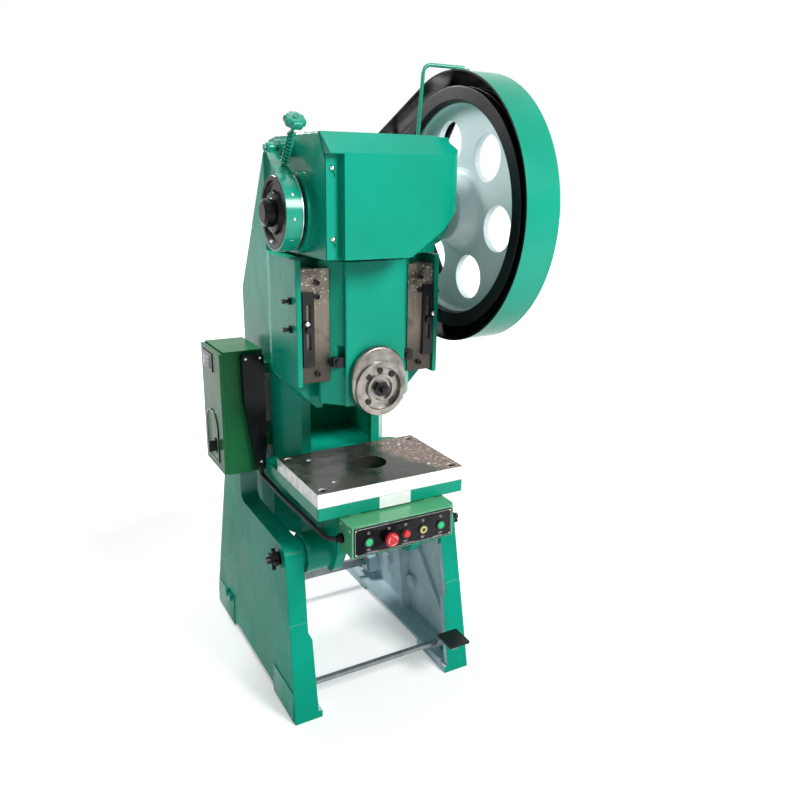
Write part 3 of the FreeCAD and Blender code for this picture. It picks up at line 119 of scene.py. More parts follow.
def roughnessInto(tree, shader, value, low, high):
    spread = addNode(tree, "ShaderNodeMapRange", {"Value": value, "To Min": low, "To Max": high})
    tree.links.new(spread.outputs["Result"], shader.inputs["Roughness"])


def glossInto(tree, shader, place, low, high, scale=9.0):
    roughnessInto(tree, shader, noiseBetween(tree, place, scale, 0.3, 0.8), low, high)


def bumpInto(tree, shader, height, strength, distance, edge=0.0):
    # relief from a height, with the sharp edges of the piece rounded by edge metres
    bump = addNode(tree, "ShaderNodeBump", {"Height": height, "Strength": strength, "Distance": distance})
    if edge > 0:
        soft = addNode(tree, "ShaderNodeBevel", {"Radius": edge}, samples=4)
        tree.links.new(soft.outputs["Normal"], bump.inputs["Normal"])
    tree.links.new(bump.outputs["Normal"], shader.inputs["Normal"])


# finishes; each noise is given as (scale, low, high, detail)

enamelTones = {
    "green": (0.003, 0.375, 0.258), "greenDeep": (0.002, 0.290, 0.182), "soot": (0.004, 0.030, 0.018),
    "box": (0.010, 0.150, 0.050), "boxDeep": (0.007, 0.110, 0.036),
    "light": (0.125, 0.470, 0.235), "lightDeep": (0.090, 0.390, 0.190), "greyPaint": (0.620, 0.780, 0.840),
    "greyDirty": (0.450, 0.590, 0.650), "webPaint": (0.780, 0.900, 0.930), "webDirty": (0.680, 0.810, 0.840),
    "black": (0.006, 0.006, 0.008),
}
brushFacts = {"tones": (3.2, 0.35, 0.68, 3.0), "oil": (7.0, 0.60, 0.86, 6.0)}
sheetLumps = {"swell": 5.0, "grain": 120.0, "share": 0.02, "strength": 0.25, "depth": 0.004}
castLumps = {"swell": 16.0, "grain": 90.0, "share": 0.16, "strength": 0.30, "depth": 0.0022}
stripLumps = {"swell": 30.0, "grain": 160.0, "share": 0.1, "strength": 0.15, "depth": 0.001}
wheelLumps = dict(castLumps, depth=0.0016)


def lumpsInto(tree, shader, place, lumps, edge):
    # the long swell of a casting or sheet under the fine grain of its paint
    swell = noiseBetween(tree, place, lumps["swell"], 0.2, 0.8, 2.0)
    grain = compute(tree, "MULTIPLY", noiseBetween(tree, place, lumps["grain"], 0.2, 0.8, 2.0), lumps["share"])
    bumpInto(tree, shader, compute(tree, "ADD", swell, grain), lumps["strength"], lumps["depth"], edge)


def enamelTone(tree, place, first, second, dirt):
    # brushed-out enamel in two close tones, with oily dirt where hands and chips go
    tone = mixColours(tree, noiseBetween(tree, place, *brushFacts["tones"]), enamelTones[first], enamelTones[second])
    oily = compute(tree, "MULTIPLY", noiseBetween(tree, place, *brushFacts["oil"]), dirt)
    return mixColours(tree, oily, tone, enamelTones["soot"])


def enamelFinish(name, first, second, lumps, gloss=(0.16, 0.30), dirt=0.35, edge=0.0015, shine=0.16):
    material, tree, shader, place = startFinish(name, gloss[0], shine=shine)
    colourInto(tree, shader, enamelTone(tree, place, first, second, dirt))
    glossInto(tree, shader, place, *gloss)
    lumpsInto(tree, shader, place, lumps, edge)
    return material


legFacts = {
    "slopes": [((0, -0.9845, 0.1722), 0.3665), ((0, 0.9748, 0.2230), 0.3815)],  # front and rear edge: normal, reach
    "skin": 0.012, "fade": 0.004, "earTop": 0.500, "towerTop": 0.594, "towerFront": 0.092, "towerFade": 0.02,
    "bossRadius": 0.075, "pivot": (0, -0.246, 0.467), "primer": (10.0, 0.4, 0.7), "gloss": (0.2, 0.38), "edge": 0.004,
}


def legFinish(name, outward):
    # green outside and on the front and rear edges, blue-grey primer all over the ribbed inside
    facts, fade = legFacts, legFacts["fade"]
    material, tree, shader, place = startFinish(name, 0.34, shine=0.05)
    green = enamelTone(tree, place, "greenDeep", "green", 0.3)
    grey = mixColours(tree, noiseBetween(tree, place, *facts["primer"]), enamelTones["greyPaint"],
                      enamelTones["greyDirty"])
    zones = []
    for slope, reach in facts["slopes"]:
        skin = ramp(tree, along(tree, place, slope), reach - facts["skin"], reach - fade / 2)
        look = facing(tree, place, (0, math.copysign(1, slope[1]), 0), 0.2, 0.3)
        zones.append(compute(tree, "MULTIPLY", skin, look))
    height = along(tree, place, (0, 0, 1))
    ear = ramp(tree, height, facts["earTop"], facts["earTop"] + fade)
    forward = ramp(tree, along(tree, place, (0, 1, 0)), facts["towerFront"] + facts["towerFade"], facts["towerFront"])
    zones.append(compute(tree, "MULTIPLY", ear, forward))
    zones.append(ramp(tree, height, facts["towerTop"], facts["towerTop"] + fade))
    radius = fromAxis(tree, place, facts["pivot"], (0, 1, 1))[1]
    zones.append(ramp(tree, radius, facts["bossRadius"], facts["bossRadius"] - fade))
    painted = facing(tree, place, (outward, 0, 0), 0.5, 0.7)
    for zone in zones:
        painted = compute(tree, "MAXIMUM", painted, zone)
    colourInto(tree, shader, mixColours(tree, painted, grey, green))
    glossInto(tree, shader, place, *facts["gloss"])
    lumpsInto(tree, shader, place, castLumps, facts["edge"])
    return material


guardFacts = {"inside": (-0.02, -0.05), "right": (0.4, 0.6), "dirt": 0.15, "gloss": (0.15, 0.28), "edge": 0.0012}


def guardFinish():
    # green outside, black inside
    material, tree, shader, place = startFinish("guardEnamel", 0.16, shine=0.2)
    outward = addNode(tree, "ShaderNodeVectorMath", {0: offsetFrom(tree, place, crankLine), 1: place.outputs["Normal"]},
                      operation="DOT_PRODUCT")
    inside = ramp(tree, outward.outputs["Value"], *guardFacts["inside"])
    green = enamelTone(tree, place, "green", "greenDeep", guardFacts["dirt"])
    colourInto(tree, shader, mixColours(tree, inside, green, enamelTones["black"]))
    glossInto(tree, shader, place, *guardFacts["gloss"])
    lumpsInto(tree, shader, place, sheetLumps, guardFacts["edge"])
    return material


def shadeLipFinish():
    # green towards the right, black towards the wheel: painted shade for the gap beside the wheel's rim
    material, tree, shader, place = startFinish("guardShadeLipEnamel", 0.2, shine=0.12)
    green = enamelTone(tree, place, "green", "greenDeep", guardFacts["dirt"])
    right = facing(tree, place, (1, 0, 0), *guardFacts["right"])
    colourInto(tree, shader, mixColours(tree, right, enamelTones["black"], green))
    lumpsInto(tree, shader, place, sheetLumps, guardFacts["edge"])
    return material


wheelFacts = {"rim": (0.2825, 0.2845), "dust": (8.0, 0.35, 0.7, 5.0), "gloss": (0.28, 0.5), "edge": 0.003}


def flywheelFinish():
    # grey painted web and hub, black rim, with the sand-cast skin showing through the paint
    facts = wheelFacts
    material, tree, shader, place = startFinish("flywheelPaint", 0.36, shine=0.2)
    radius = fromAxis(tree, place, crankLine, (0, 1, 1))[1]
    grey = mixColours(tree, noiseBetween(tree, place, *facts["dust"]), enamelTones["webPaint"], enamelTones["webDirty"])
    colourInto(tree, shader, mixColours(tree, ramp(tree, radius, *facts["rim"]), grey, enamelTones["black"]))
    glossInto(tree, shader, place, *facts["gloss"])
    lumpsInto(tree, shader, place, wheelLumps, facts["edge"])
    return material


def metalFinish(name, tone, roughness, scratches, metallic=1.0, edge=0.0008, wear=0.72):
    material, tree, shader, place = startFinish(name, roughness, metallic)
    dark = tuple(channel * wear for channel in tone)
    colourInto(tree, shader, mixColours(tree, noiseBetween(tree, place, 24.0, 0.35, 0.7), tone, dark))
    glossInto(tree, shader, place, roughness, roughness + 0.2, 14.0)
    bumpInto(tree, shader, noiseBetween(tree, place, 260.0, 0.2, 0.8, 2.0), scratches, 0.0004, edge)
    return material


gibFacts = {
    "ground": (500.0, 500.0, 9.0), "tones": [(0.230, 0.190, 0.150), (0.120, 0.104, 0.084)],
    "darkBelow": (1.10, 1.02), "darkBelowTone": (0.055, 0.046, 0.034), "grease": (16.0, 0.50, 0.72, 6.0),
    "greaseTone": (0.040, 0.038, 0.030), "crumbs": (190.0, 0.60, 0.66, 3.0), "crumbHeight": (1.16, 1.22),
    "crumbTone": (0.60, 0.57, 0.50), "gloss": (0.40, 0.16), "skin": (90.0, 0.25, 0.75, 6.0),
}


def gibFinish():
    # brown machined iron, darker towards the bottom, with grease and bright crumbs of swarf near the top
    facts = gibFacts
    material, tree, shader, place = startFinish("gibIron", 0.3, 0.6)
    lines = addNode(tree, "ShaderNodeMapping", {"Vector": place.outputs["Object"], "Scale": facts["ground"]})
    ground = addNode(tree, "ShaderNodeTexNoise", {"Vector": lines.outputs[0], "Scale": 1.0, "Detail": 3.0})
    height = along(tree, place, (0, 0, 1))
    grease = noiseBetween(tree, place, *facts["grease"])
    crumbs = compute(tree, "MULTIPLY", noiseBetween(tree, place, *facts["crumbs"]),
                     ramp(tree, height, *facts["crumbHeight"]))
    tone = mixColours(tree, ground.outputs["Fac"], *facts["tones"])
    tone = mixColours(tree, ramp(tree, height, *facts["darkBelow"]), tone, facts["darkBelowTone"])
    tone = mixColours(tree, grease, tone, facts["greaseTone"])
    colourInto(tree, shader, mixColours(tree, crumbs, tone, facts["crumbTone"]))
    roughnessInto(tree, shader, grease, *facts["gloss"])
    bumpInto(tree, shader, noiseBetween(tree, place, *facts["skin"]), 0.3, 0.0010, 0.001)
    return material


bolsterFacts = {
    "smear": (13.0, 0.40, 0.64, 7.0), "wander": (9.0, 0.2, 0.8, 4.0), "wanderBy": 0.07,
    "across": (0.95, 0.3, 0), "rustFrom": (0.045, 0.085), "darkTones": [(0.028, 0.040, 0.030), (0.085, 0.085, 0.068)],
    "rustTones": [(0.190, 0.105, 0.070), (0.300, 0.190, 0.140)], "grit": (120.0, 0.56, 0.63, 4.0),
    "gritTone": (0.70, 0.66, 0.60), "cut": (40.0, 0.4, 0.8), "flankTones": [(0.90, 0.91, 0.91), (0.84, 0.85, 0.85)],
    "film": (22.0, 0.42, 0.62, 5.0), "filmTone": (0.58, 0.66, 0.63), "hole": (0, -0.255, 0),
    "holeEdge": (0.065, 0.060), "holeTone": (0.045, 0.045, 0.036), "gloss": (0.14, 0.38),
    "skin": (34.0, 0.25, 0.75, 7.0),
}


def bolsterFinish():
    # machined plate: bright flanks, oily dark top that goes rust brown and gritty towards the right
    facts = bolsterFacts
    material, tree, shader, place = startFinish("bolsterSteel", 0.3, 0.2, shine=0.35)
    smear = noiseBetween(tree, place, *facts["smear"])
    wander = compute(tree, "MULTIPLY", noiseBetween(tree, place, *facts["wander"]), facts["wanderBy"])
    across = compute(tree, "ADD", along(tree, place, facts["across"]), wander)
    dark = mixColours(tree, smear, *facts["darkTones"])
    brown = mixColours(tree, smear, *facts["rustTones"])
    brown = mixColours(tree, noiseBetween(tree, place, *facts["grit"]), brown, facts["gritTone"])
    oily = mixColours(tree, ramp(tree, across, *facts["rustFrom"]), dark, brown)
    bright = mixColours(tree, noiseBetween(tree, place, *facts["cut"]), *facts["flankTones"])
    film = compute(tree, "MULTIPLY", facing(tree, place, (-1, 0, 0), 0.5, 0.7),
                   noiseBetween(tree, place, *facts["film"]))
    bright = mixColours(tree, film, bright, facts["filmTone"])
    reach = fromAxis(tree, place, facts["hole"], (1, 1, 0))[1]
    bright = mixColours(tree, ramp(tree, reach, *facts["holeEdge"]), bright, facts["holeTone"])
    colourInto(tree, shader, mixColours(tree, facing(tree, place, (0, 0, 1), 0.5, 0.7), bright, oily))
    roughnessInto(tree, shader, smear, *facts["gloss"])
    bumpInto(tree, shader, noiseBetween(tree, place, *facts["skin"]), 0.35, 0.0012, 0.0012)
    return material


def plasticFinish(name, tone, roughness, grain=0.08, shine=0.5):
    material, tree, shader, place = startFinish(name, roughness, shine=shine)
    paler = tuple(min(1.0, channel * 1.3 + 0.004) for channel in tone)
    colourInto(tree, shader, mixColours(tree, noiseBetween(tree, place, 30.0, 0.3, 0.8), tone, paler))
    bumpInto(tree, shader, noiseBetween(tree, place, 500.0, 0.2, 0.8, 2.0), grain, 0.0003, 0.0006)
    return material


mushroomFacts = {
    "centre": (-0.047, 0, 0.577), "arcs": 3, "turn": 3.25, "arcStart": (0.30, 0.33), "arcEnd": (0.96, 0.93),
    "inner": (0.0112, 0.0116), "outer": (0.0146, 0.0142), "tones": [(0.66, 0.010, 0.018), (0.56, 0.008, 0.014)],
    "arcTone": (0.86, 0.36, 0.38),
}


def mushroomFinish():
    # red cap with three paler arcs round its face
    facts = mushroomFacts
    material, tree, shader, place = startFinish("mushroomRed", 0.24)
    flat, reach = fromAxis(tree, place, facts["centre"], (1, 0, 1))
    parts = addNode(tree, "ShaderNodeSeparateXYZ", {0: flat})
    angle = compute(tree, "ARCTAN2", parts.outputs["Z"], parts.outputs["X"])
    turned = compute(tree, "MULTIPLY", angle, facts["arcs"] / (2 * math.pi))
    third = compute(tree, "FRACT", compute(tree, "ADD", turned, facts["turn"]))
    mark = facing(tree, place, (0, -1, 0), 0.2, 0.3)
    for value, limits in ((third, "arcStart"), (third, "arcEnd"), (reach, "inner"), (reach, "outer")):
        mark = compute(tree, "MULTIPLY", mark, ramp(tree, value, *facts[limits]))
    base = mixColours(tree, noiseBetween(tree, place, 40.0, 0.3, 0.8), *facts["tones"])
    colourInto(tree, shader, mixColours(tree, mark, base, facts["arcTone"]))
    bumpInto(tree, shader, noiseBetween(tree, place, 500.0, 0.2, 0.8, 2.0), 0.03, 0.0003)
    return material


keyFacts = {
    "centre": (0.058, 0, 0.577), "barrel": (0.0062, 0.0066), "tones": [(0.72, 0.66, 0.20), (0.52, 0.50, 0.16)],
    "barrelTone": (0.10, 0.11, 0.05),
}


def keyFinish():
    # yellow painted ring round a dark steel barrel
    facts = keyFacts
    material, tree, shader, place = startFinish("keyBarrel", 0.26, 0.4)
    reach = fromAxis(tree, place, facts["centre"], (1, 0, 1))[1]
    yellow = mixColours(tree, noiseBetween(tree, place, 60.0, 0.3, 0.8), *facts["tones"])
    colourInto(tree, shader, mixColours(tree, ramp(tree, reach, *facts["barrel"]), facts["barrelTone"], yellow))
    bumpInto(tree, shader, noiseBetween(tree, place, 300.0, 0.2, 0.8, 2.0), 0.1, 0.0003, 0.0004)
    return material


padFacts = {"studs": 180.0, "dust": (260.0, 0.62, 0.72), "tones": [(0.006, 0.007, 0.007), (0.045, 0.055, 0.05)]}


def padFinish():
    # black rubber with moulded square studs on its top
    material, tree, shader, place = startFinish("padRubber", 0.34, shine=0.25)
    cells = addNode(tree, "ShaderNodeTexChecker", {"Vector": place.outputs["Object"], "Scale": padFacts["studs"]})
    colourInto(tree, shader, mixColours(tree, noiseBetween(tree, place, *padFacts["dust"]), *padFacts["tones"]))
    bumpInto(tree, shader, cells.outputs["Fac"], 0.7, 0.0015, 0.001)
    return material


finishes = {
    "green": enamelFinish("greenEnamel", "green", "greenDeep", sheetLumps, (0.15, 0.27), 0.18),
    "strip": enamelFinish("stripEnamel", "green", "greenDeep", stripLumps, (0.14, 0.24), 0.2, 0.0008, 0.4),
    "dull strip": enamelFinish("dullStripEnamel", "greenDeep", "greenDeep", stripLumps, (0.42, 0.55), 0.6,
                               0.0006, 0.12),
    "casting": enamelFinish("castingEnamel", "green", "greenDeep", castLumps, (0.18, 0.36), 0.4, 0.0035),
    "box": enamelFinish("boxEnamel", "box", "boxDeep", sheetLumps, (0.2, 0.34), 0.2, 0.002, 0.1),
    "light": enamelFinish("lightEnamel", "light", "lightDeep", sheetLumps, (0.14, 0.26), 0.2, 0.0015, 0.4),
    "guard": guardFinish(), "guard shade lip": shadeLipFinish(),
    "flywheel": flywheelFinish(),
    "bolster": bolsterFinish(),
    "gib": gibFinish(),
    "iron": metalFinish("machinedIron", (0.095, 0.075, 0.055), 0.34, 0.2, 0.6),
    "steel": metalFinish("brightSteel", (0.62, 0.62, 0.60), 0.20, 0.12),
    "grey steel": metalFinish("greySteel", (0.30, 0.33, 0.35), 0.32, 0.2, 0.8),
    "black steel": metalFinish("blackSteel", (0.020, 0.020, 0.022), 0.26, 0.2, 0.7),
    "oiled": metalFinish("oiledSteel", (0.30, 0.28, 0.255), 0.22, 0.3, 0.9, 0.0012, 0.35),
    "bronze": metalFinish("bushBronze", (0.55, 0.38, 0.14), 0.3, 0.1),
    "silver": metalFinish("silverEdge", (0.38, 0.40, 0.40), 0.3, 0.05, 0.8),
    "gloss black": plasticFinish("glossBlack", (0.002, 0.002, 0.003), 0.18, 0.06, 0.14),
    "rubber": plasticFinish("blackRubber", (0.008, 0.008, 0.009), 0.32, 0.2, 0.2),
    "pad": padFinish(),
    "black": plasticFinish("blackMoulding", (0.003, 0.005, 0.007), 0.16, 0.05, 0.10),
    "matt black": plasticFinish("mattBlack", (0.012, 0.013, 0.015), 0.30, 0.1, 0.35),
    "panel": plasticFinish("panelLaminate", (0.006, 0.007, 0.010), 0.24, 0.03, 0.3),
    "red": plasticFinish("redCap", (0.68, 0.010, 0.018), 0.24, 0.02),
    "go green": plasticFinish("greenCap", (0.0, 0.50, 0.18), 0.22, 0.02),
    "key yellow": keyFinish(),
    "mushroom": mushroomFinish(),
    "white mark": plasticFinish("whiteMark", (0.50, 0.52, 0.50), 0.4, 0.02),
    "plate": plasticFinish("whitePlate", (0.86, 0.88, 0.86), 0.25, 0.04),
    "display": plasticFinish("displayWindow", (0.006, 0.016, 0.060), 0.12, 0.02, 0.3),
    "digit": plasticFinish("displaySegments", (0.060, 0.110, 0.260), 0.3, 0.02),
}
wornBy = {
    "green": ["front_cover", "motor", "fan_cover", "motor_bracket", "brake_knob"],
    "strip": ["brake_band", "brake_strap", "guard_bracket", "brake_rod", "brake_spring", "brake_pivot_pin"],
    "casting": ["frame_casting", "slide_block", "stand_bolts"],
    "box": ["electric_box", "box_door"], "light": ["control_box"],
    "guard": ["belt_guard"], "flywheel": ["flywheel"], "bolster": ["bolster"],
    "gib": ["gib_left", "gib_right"],
    "iron": ["connecting_rod"],
    "steel": ["cover_screws", "crankshaft", "ball_screw", "motor_shaft"],
    "grey steel": ["rear_tie_bar", "treadle_bar"],
    "black steel": ["trunnion_pins", "treadle_spring", "bolster_screws", "gib_screws", "gib_adjusters",
                    "knockout_stops", "motor_bolts", "clamp_nuts", "knockout_bar", "motor_pulley"],
    "gloss black": ["brake_drum", "tilt_nuts"],
    "oiled": ["die_clamp"],
    "bronze": ["crank_bushes"],
    "rubber": ["v_belts", "control_cable"],
    "pad": ["pedal_pad"],
    "black": ["cable_shroud", "cable_gland", "isolator_knob"],
    "matt black": ["button_bodies", "control_gear", "counter_display"],
    "panel": ["control_panel"],
    "red": ["stop_button", "emergency_stop"],
    "go green": ["start_button_left", "start_button_right"],
    "key yellow": ["key_switch"],
}


def coat(piece, material):
    piece.data.materials.clear()
    piece.data.materials.append(material)


for finish, names in wornBy.items():
    for name in names:
        coat(nodes[name], finishes[finish])
coat(nodes["leg_left"], legFinish("leftLegEnamel", -1))
coat(nodes["leg_right"], legFinish("rightLegEnamel", 1))
print("stage: finishes on the frame's own pieces")


# camera

cameraFacts = {"place": (-0.9196, -2.0654, 1.5098), "yaw": 29.37, "pitch": 16.77, "roll": -0.87,
               "focalPixels": 751.5, "imagePixels": 800.0, "sensor": 36.0}


def setCamera():
    yaw, pitch, roll = (math.radians(cameraFacts[word]) for word in ("yaw", "pitch", "roll"))
    ahead = Vector((math.sin(yaw) * math.cos(pitch), math.cos(yaw) * math.cos(pitch), -math.sin(pitch)))
    right = Vector((math.cos(yaw), -math.sin(yaw), 0))
    down = ahead.cross(right)
    turnedRight = right * math.cos(roll) + down * math.sin(roll)
    turnedDown = down * math.cos(roll) - right * math.sin(roll)
    lens = bpy.data.cameras.new("photoCamera")
    lens.sensor_width = cameraFacts["sensor"]
    lens.lens = cameraFacts["focalPixels"] / cameraFacts["imagePixels"] * cameraFacts["sensor"]
    camera = bpy.data.objects.new("photoCamera", lens)
    bpy.context.scene.collection.objects.link(camera)
    axes = Matrix((turnedRight, -turnedDown, -ahead)).transposed()
    camera.matrix_world = Matrix.Translation(cameraFacts["place"]) @ axes.to_4x4()
    bpy.context.scene.camera = camera


setCamera()
print("stage: camera")


# the cable between the box's shroud and the console

cableFacts = {
    "route": [(-0.156, -0.404, 0.572), (-0.192, -0.404, 0.572), (-0.206, -0.366, 0.584), (-0.212, -0.318, 0.592),
              (-0.219, -0.262, 0.598), (-0.227, -0.200, 0.605), (-0.231, -0.136, 0.610), (-0.233, -0.074, 0.615),
              (-0.236, -0.028, 0.619), (-0.240, 0.002, 0.627), (-0.240, 0.003, 0.6496)],
    "diameter": 0.014, "length": 0.466,
}


def hangCable():
    facts = cableFacts
    line = bpy.data.curves.new("controlCable", "CURVE")
    line.dimensions = "3D"
    line.bevel_depth = facts["diameter"] / 2
    line.bevel_resolution = 5
    line.resolution_u = 10
    line.use_fill_caps = True
    spline = line.splines.new("NURBS")
    spline.points.add(len(facts["route"]) - 1)
    for point, spot in zip(spline.points, facts["route"]):
        point.co = (*spot, 1)
    spline.order_u = 3
    spline.use_endpoint_u = True
    cable = bpy.data.objects.new("controlCable", line)
    bpy.context.scene.collection.objects.link(cable)
    line.materials.append(finishes["rubber"])
    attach(cable, "press_frame")
    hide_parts("control_cable")


hangCable()
print("stage: cable")


# helpers for shaping new pieces

def clearSelection():
    if bpy.context.mode != "OBJECT":
        bpy.ops.object.mode_set(mode="OBJECT")
    bpy.ops.object.select_all(action="DESELECT")


def takeUp(piece):
    # this piece active and nothing else selected
    clearSelection()
    piece.select_set(True)
    bpy.context.view_layer.objects.active = piece


def pickEdges(piece, across, above=None, near=None):
    # selects the edges that run along an axis, above a height or within a test of their middle
    axis = "xyz".index(across)
    bpy.ops.object.mode_set(mode="EDIT")
    bpy.ops.mesh.select_mode(type="EDGE")
    bpy.ops.mesh.select_all(action="DESELECT")
    bpy.ops.object.mode_set(mode="OBJECT")
    for edge in piece.data.edges:
        start, end = (piece.data.vertices[corner].co for corner in edge.vertices)
        run, middle = end - start, (start + end) / 2
        wanted = (above is None or middle.z > above) and (near is None or near(middle))
        edge.select = abs(run[axis]) > 0.999 * run.length and wanted
    bpy.ops.object.mode_set(mode="EDIT")


def pickFaces(piece, direction, reach=None):
    # selects the faces that look along a direction, or only those furthest along it
    aim = Vector(direction)
    bpy.ops.object.mode_set(mode="EDIT")
    bpy.ops.mesh.select_mode(type="FACE")
    bpy.ops.mesh.select_all(action="DESELECT")
    bpy.ops.object.mode_set(mode="OBJECT")
    furthest = max(face.center.dot(aim) for face in piece.data.polygons)
    for face in piece.data.polygons:
        far = reach is None or face.center.dot(aim) > furthest - reach
        face.select = face.normal.dot(aim) > 0.95 and far
    bpy.ops.object.mode_set(mode="EDIT")


def pushOut(shift):
    bpy.ops.mesh.extrude_region_move(TRANSFORM_OT_translate={"value": tuple(shift)})


def stepOut(piece, direction, centre, steps):
    # extrudes the end face again and again: (distance, size) of each step
    aim = Vector(direction)
    across = [0.0 if abs(part) > 0.5 else 1.0 for part in aim]
    pickFaces(piece, direction, 0.0004)
    for distance, size in steps:
        pushOut(aim * distance)
        scale = tuple(size if share else 1.0 for share in across)
        bpy.ops.transform.resize(value=scale, center_override=tuple(centre))
    bpy.ops.object.mode_set(mode="OBJECT")


def sinkFace(piece, direction, wall, depth, reach=None, opened=False):
    # insets the face that looks along a direction and pushes it back, or leaves it open
    pickFaces(piece, direction, reach)
    bpy.ops.mesh.inset(thickness=wall)
    pushOut(Vector(direction) * -depth)
    if opened:
        bpy.ops.mesh.delete(type="FACE")
    bpy.ops.object.mode_set(mode="OBJECT")


def newPlate(name, low, high, rounding=0.0, steps=3, across="y", above=None):
    # a block between two corners, rounded on its edges along one axis, or only on those above a height
    clearSelection()
    bpy.ops.mesh.primitive_cube_add(size=1, location=[(a + b) / 2 for a, b in zip(low, high)])
    piece = bpy.context.object
    piece.name = name
    piece.scale = [b - a for a, b in zip(low, high)]
    bpy.ops.object.transform_apply(location=True, rotation=True, scale=True)
    if rounding > 0:
        pickEdges(piece, across, above)
        bpy.ops.mesh.bevel(offset=rounding, segments=steps, affect="EDGES")
        bpy.ops.object.mode_set(mode="OBJECT")
    return piece


def newDisc(name, centre, direction, radius, depth, sides=32):
    # a short round bar standing on centre and looking along a direction
    clearSelection()
    aim = Vector(direction)
    turn = aim.to_track_quat("Z", "Y").to_euler()
    bpy.ops.mesh.primitive_cylinder_add(vertices=sides, radius=radius, depth=depth, rotation=turn,
                                        location=Vector(centre) + aim * (depth / 2))
    piece = bpy.context.object
    piece.name = name
    bpy.ops.object.transform_apply(location=True, rotation=True, scale=True)
    return piece


def reshape(piece, kind, **settings):
    # one modifier, set and applied
    change = piece.modifiers.new(kind.lower(), kind)
    for key, value in settings.items():
        setattr(change, key, value)
    bpy.context.view_layer.objects.active = piece
    bpy.ops.object.modifier_apply(modifier=change.name)


def softenEdges(piece, width, segments=2, angle=30):
    reshape(piece, "BEVEL", width=width, segments=segments, limit_method="ANGLE", angle_limit=math.radians(angle))


def copyTo(piece, name, shift):
    twin = piece.copy()
    twin.data = piece.data.copy()
    twin.data.transform(Matrix.Translation(shift))
    twin.name = name
    bpy.context.scene.collection.objects.link(twin)
    return twin


def joinUp(pieces, name):
    clearSelection()
    for piece in pieces:
        piece.select_set(True)
    bpy.context.view_layer.objects.active = pieces[0]
    bpy.ops.object.join()
    pieces[0].name = name
    return pieces[0]


def fitPiece(piece, body, finish, smooth=35):
    # last touches that every new piece gets
    takeUp(piece)
    bpy.ops.object.shade_smooth_by_angle(angle=math.radians(smooth))
    coat(piece, finishes[finish])
    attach(piece, body)


# console: silver frame and plain marks on the panel

consoleFacts = {
    "panelFace": -0.467, "panelHalf": 0.151, "panelLow": 0.540, "panelHigh": 0.621, "buttonHeight": 0.577,
    "buttons": {"startLeft": -0.108, "emergency": -0.047, "stop": 0.004, "key": 0.058, "startRight": 0.115},
    "border": 0.003, "frameWidth": 0.0011, "frameDepth": 0.0005,
    "markHeight": 0.603, "markDepth": 0.00025, "ringRadius": 0.0036, "ringWall": 0.0011,
    "barHeight": 0.5555, "barHalf": 0.0006, "bars": [(0, 0.0065), (0.0034, 0.0045)],  # drop, half width
    "lowHeight": 0.5467, "lowHalf": 0.0005, "lowBars": [(-0.100, 0.016), (0.012, 0.020), (0.106, 0.014)],
}


def newBar(name, x, z, halfWide, halfHigh, rounding):
    front = consoleFacts["panelFace"]
    return newPlate(name, (x - halfWide, front - consoleFacts["markDepth"], z - halfHigh),
                    (x + halfWide, front, z + halfHigh), rounding, 2)


def trimPanel():
    facts = consoleFacts
    front, half = facts["panelFace"], facts["panelHalf"] - facts["border"]
    trim = newPlate("panelFrame", (-half, front - facts["frameDepth"], facts["panelLow"] + facts["border"]),
                    (half, front, facts["panelHigh"] - facts["border"]), facts["border"])
    sinkFace(trim, (0, -1, 0), facts["frameWidth"], facts["frameDepth"] * 0.92, opened=True)
    fitPiece(trim, "press_frame", "silver")
    marks = []
    for name, x in facts["buttons"].items():
        ring = newDisc(name + "Mark", (x, front, facts["markHeight"]), (0, -1, 0), facts["ringRadius"],
                       facts["markDepth"], 20)
        sinkFace(ring, (0, -1, 0), facts["ringWall"], facts["markDepth"] * 1.2)
        marks.append(ring)
        for drop, halfWide in facts["bars"]:
            marks.append(newBar(name + "Bar", x, facts["barHeight"] - drop, halfWide, facts["barHalf"], 0.0005))
    for x, halfWide in facts["lowBars"]:
        marks.append(newBar("lowBar", x, facts["lowHeight"], halfWide, facts["lowHalf"], 0.0004))
    fitPiece(joinUp(marks, "panelMarks"), "press_frame", "white mark")


trimPanel()


# caps of the buttons; steps are (distance, size) from the stem's face outwards

startSteps = [(0.0012, 0.93), (0.0001, 0.86), (-0.0010, 0.95), (0.0009, 0.80), (0.0004, 0.5)]
stopSteps = [(0.0040, 1.0), (0.0030, 0.96), (0.0014, 0.86), (0.0008, 0.70), (0.0002, 0.4)]
mushroomSteps = [(0.0006, 1.80), (0.0012, 1.06), (0.0060, 1.02), (0.0034, 0.94), (0.0022, 0.88), (0.0010, 0.86),
                 (-0.0006, 0.97), (0.0006, 0.80), (0.0003, 0.6)]
capFacts = {
    "root": -0.456, "edge": 0.00035,
    "caps": {
        "startCapLeft": {"node": "start_button_left", "body": "left_start", "button": "startLeft", "face": -0.4706,
                         "radius": 0.0103, "finish": "go green", "slot": "green_plastic", "steps": startSteps},
        "startCapRight": {"node": "start_button_right", "body": "right_start", "button": "startRight", "face": -0.4706,
                          "radius": 0.0103, "finish": "go green", "slot": "green_plastic", "steps": startSteps},
        "stopCap": {"node": "stop_button", "body": "stop", "button": "stop", "face": -0.4690,
                    "radius": 0.0103, "finish": "red", "slot": "red_plastic", "steps": stopSteps},
        "emergencyCap": {"node": "emergency_stop", "body": "emergency", "button": "emergency", "face": -0.4774,
                         "radius": 0.0102, "finish": "mushroom", "slot": "red_plastic", "steps": mushroomSteps},
    },
}


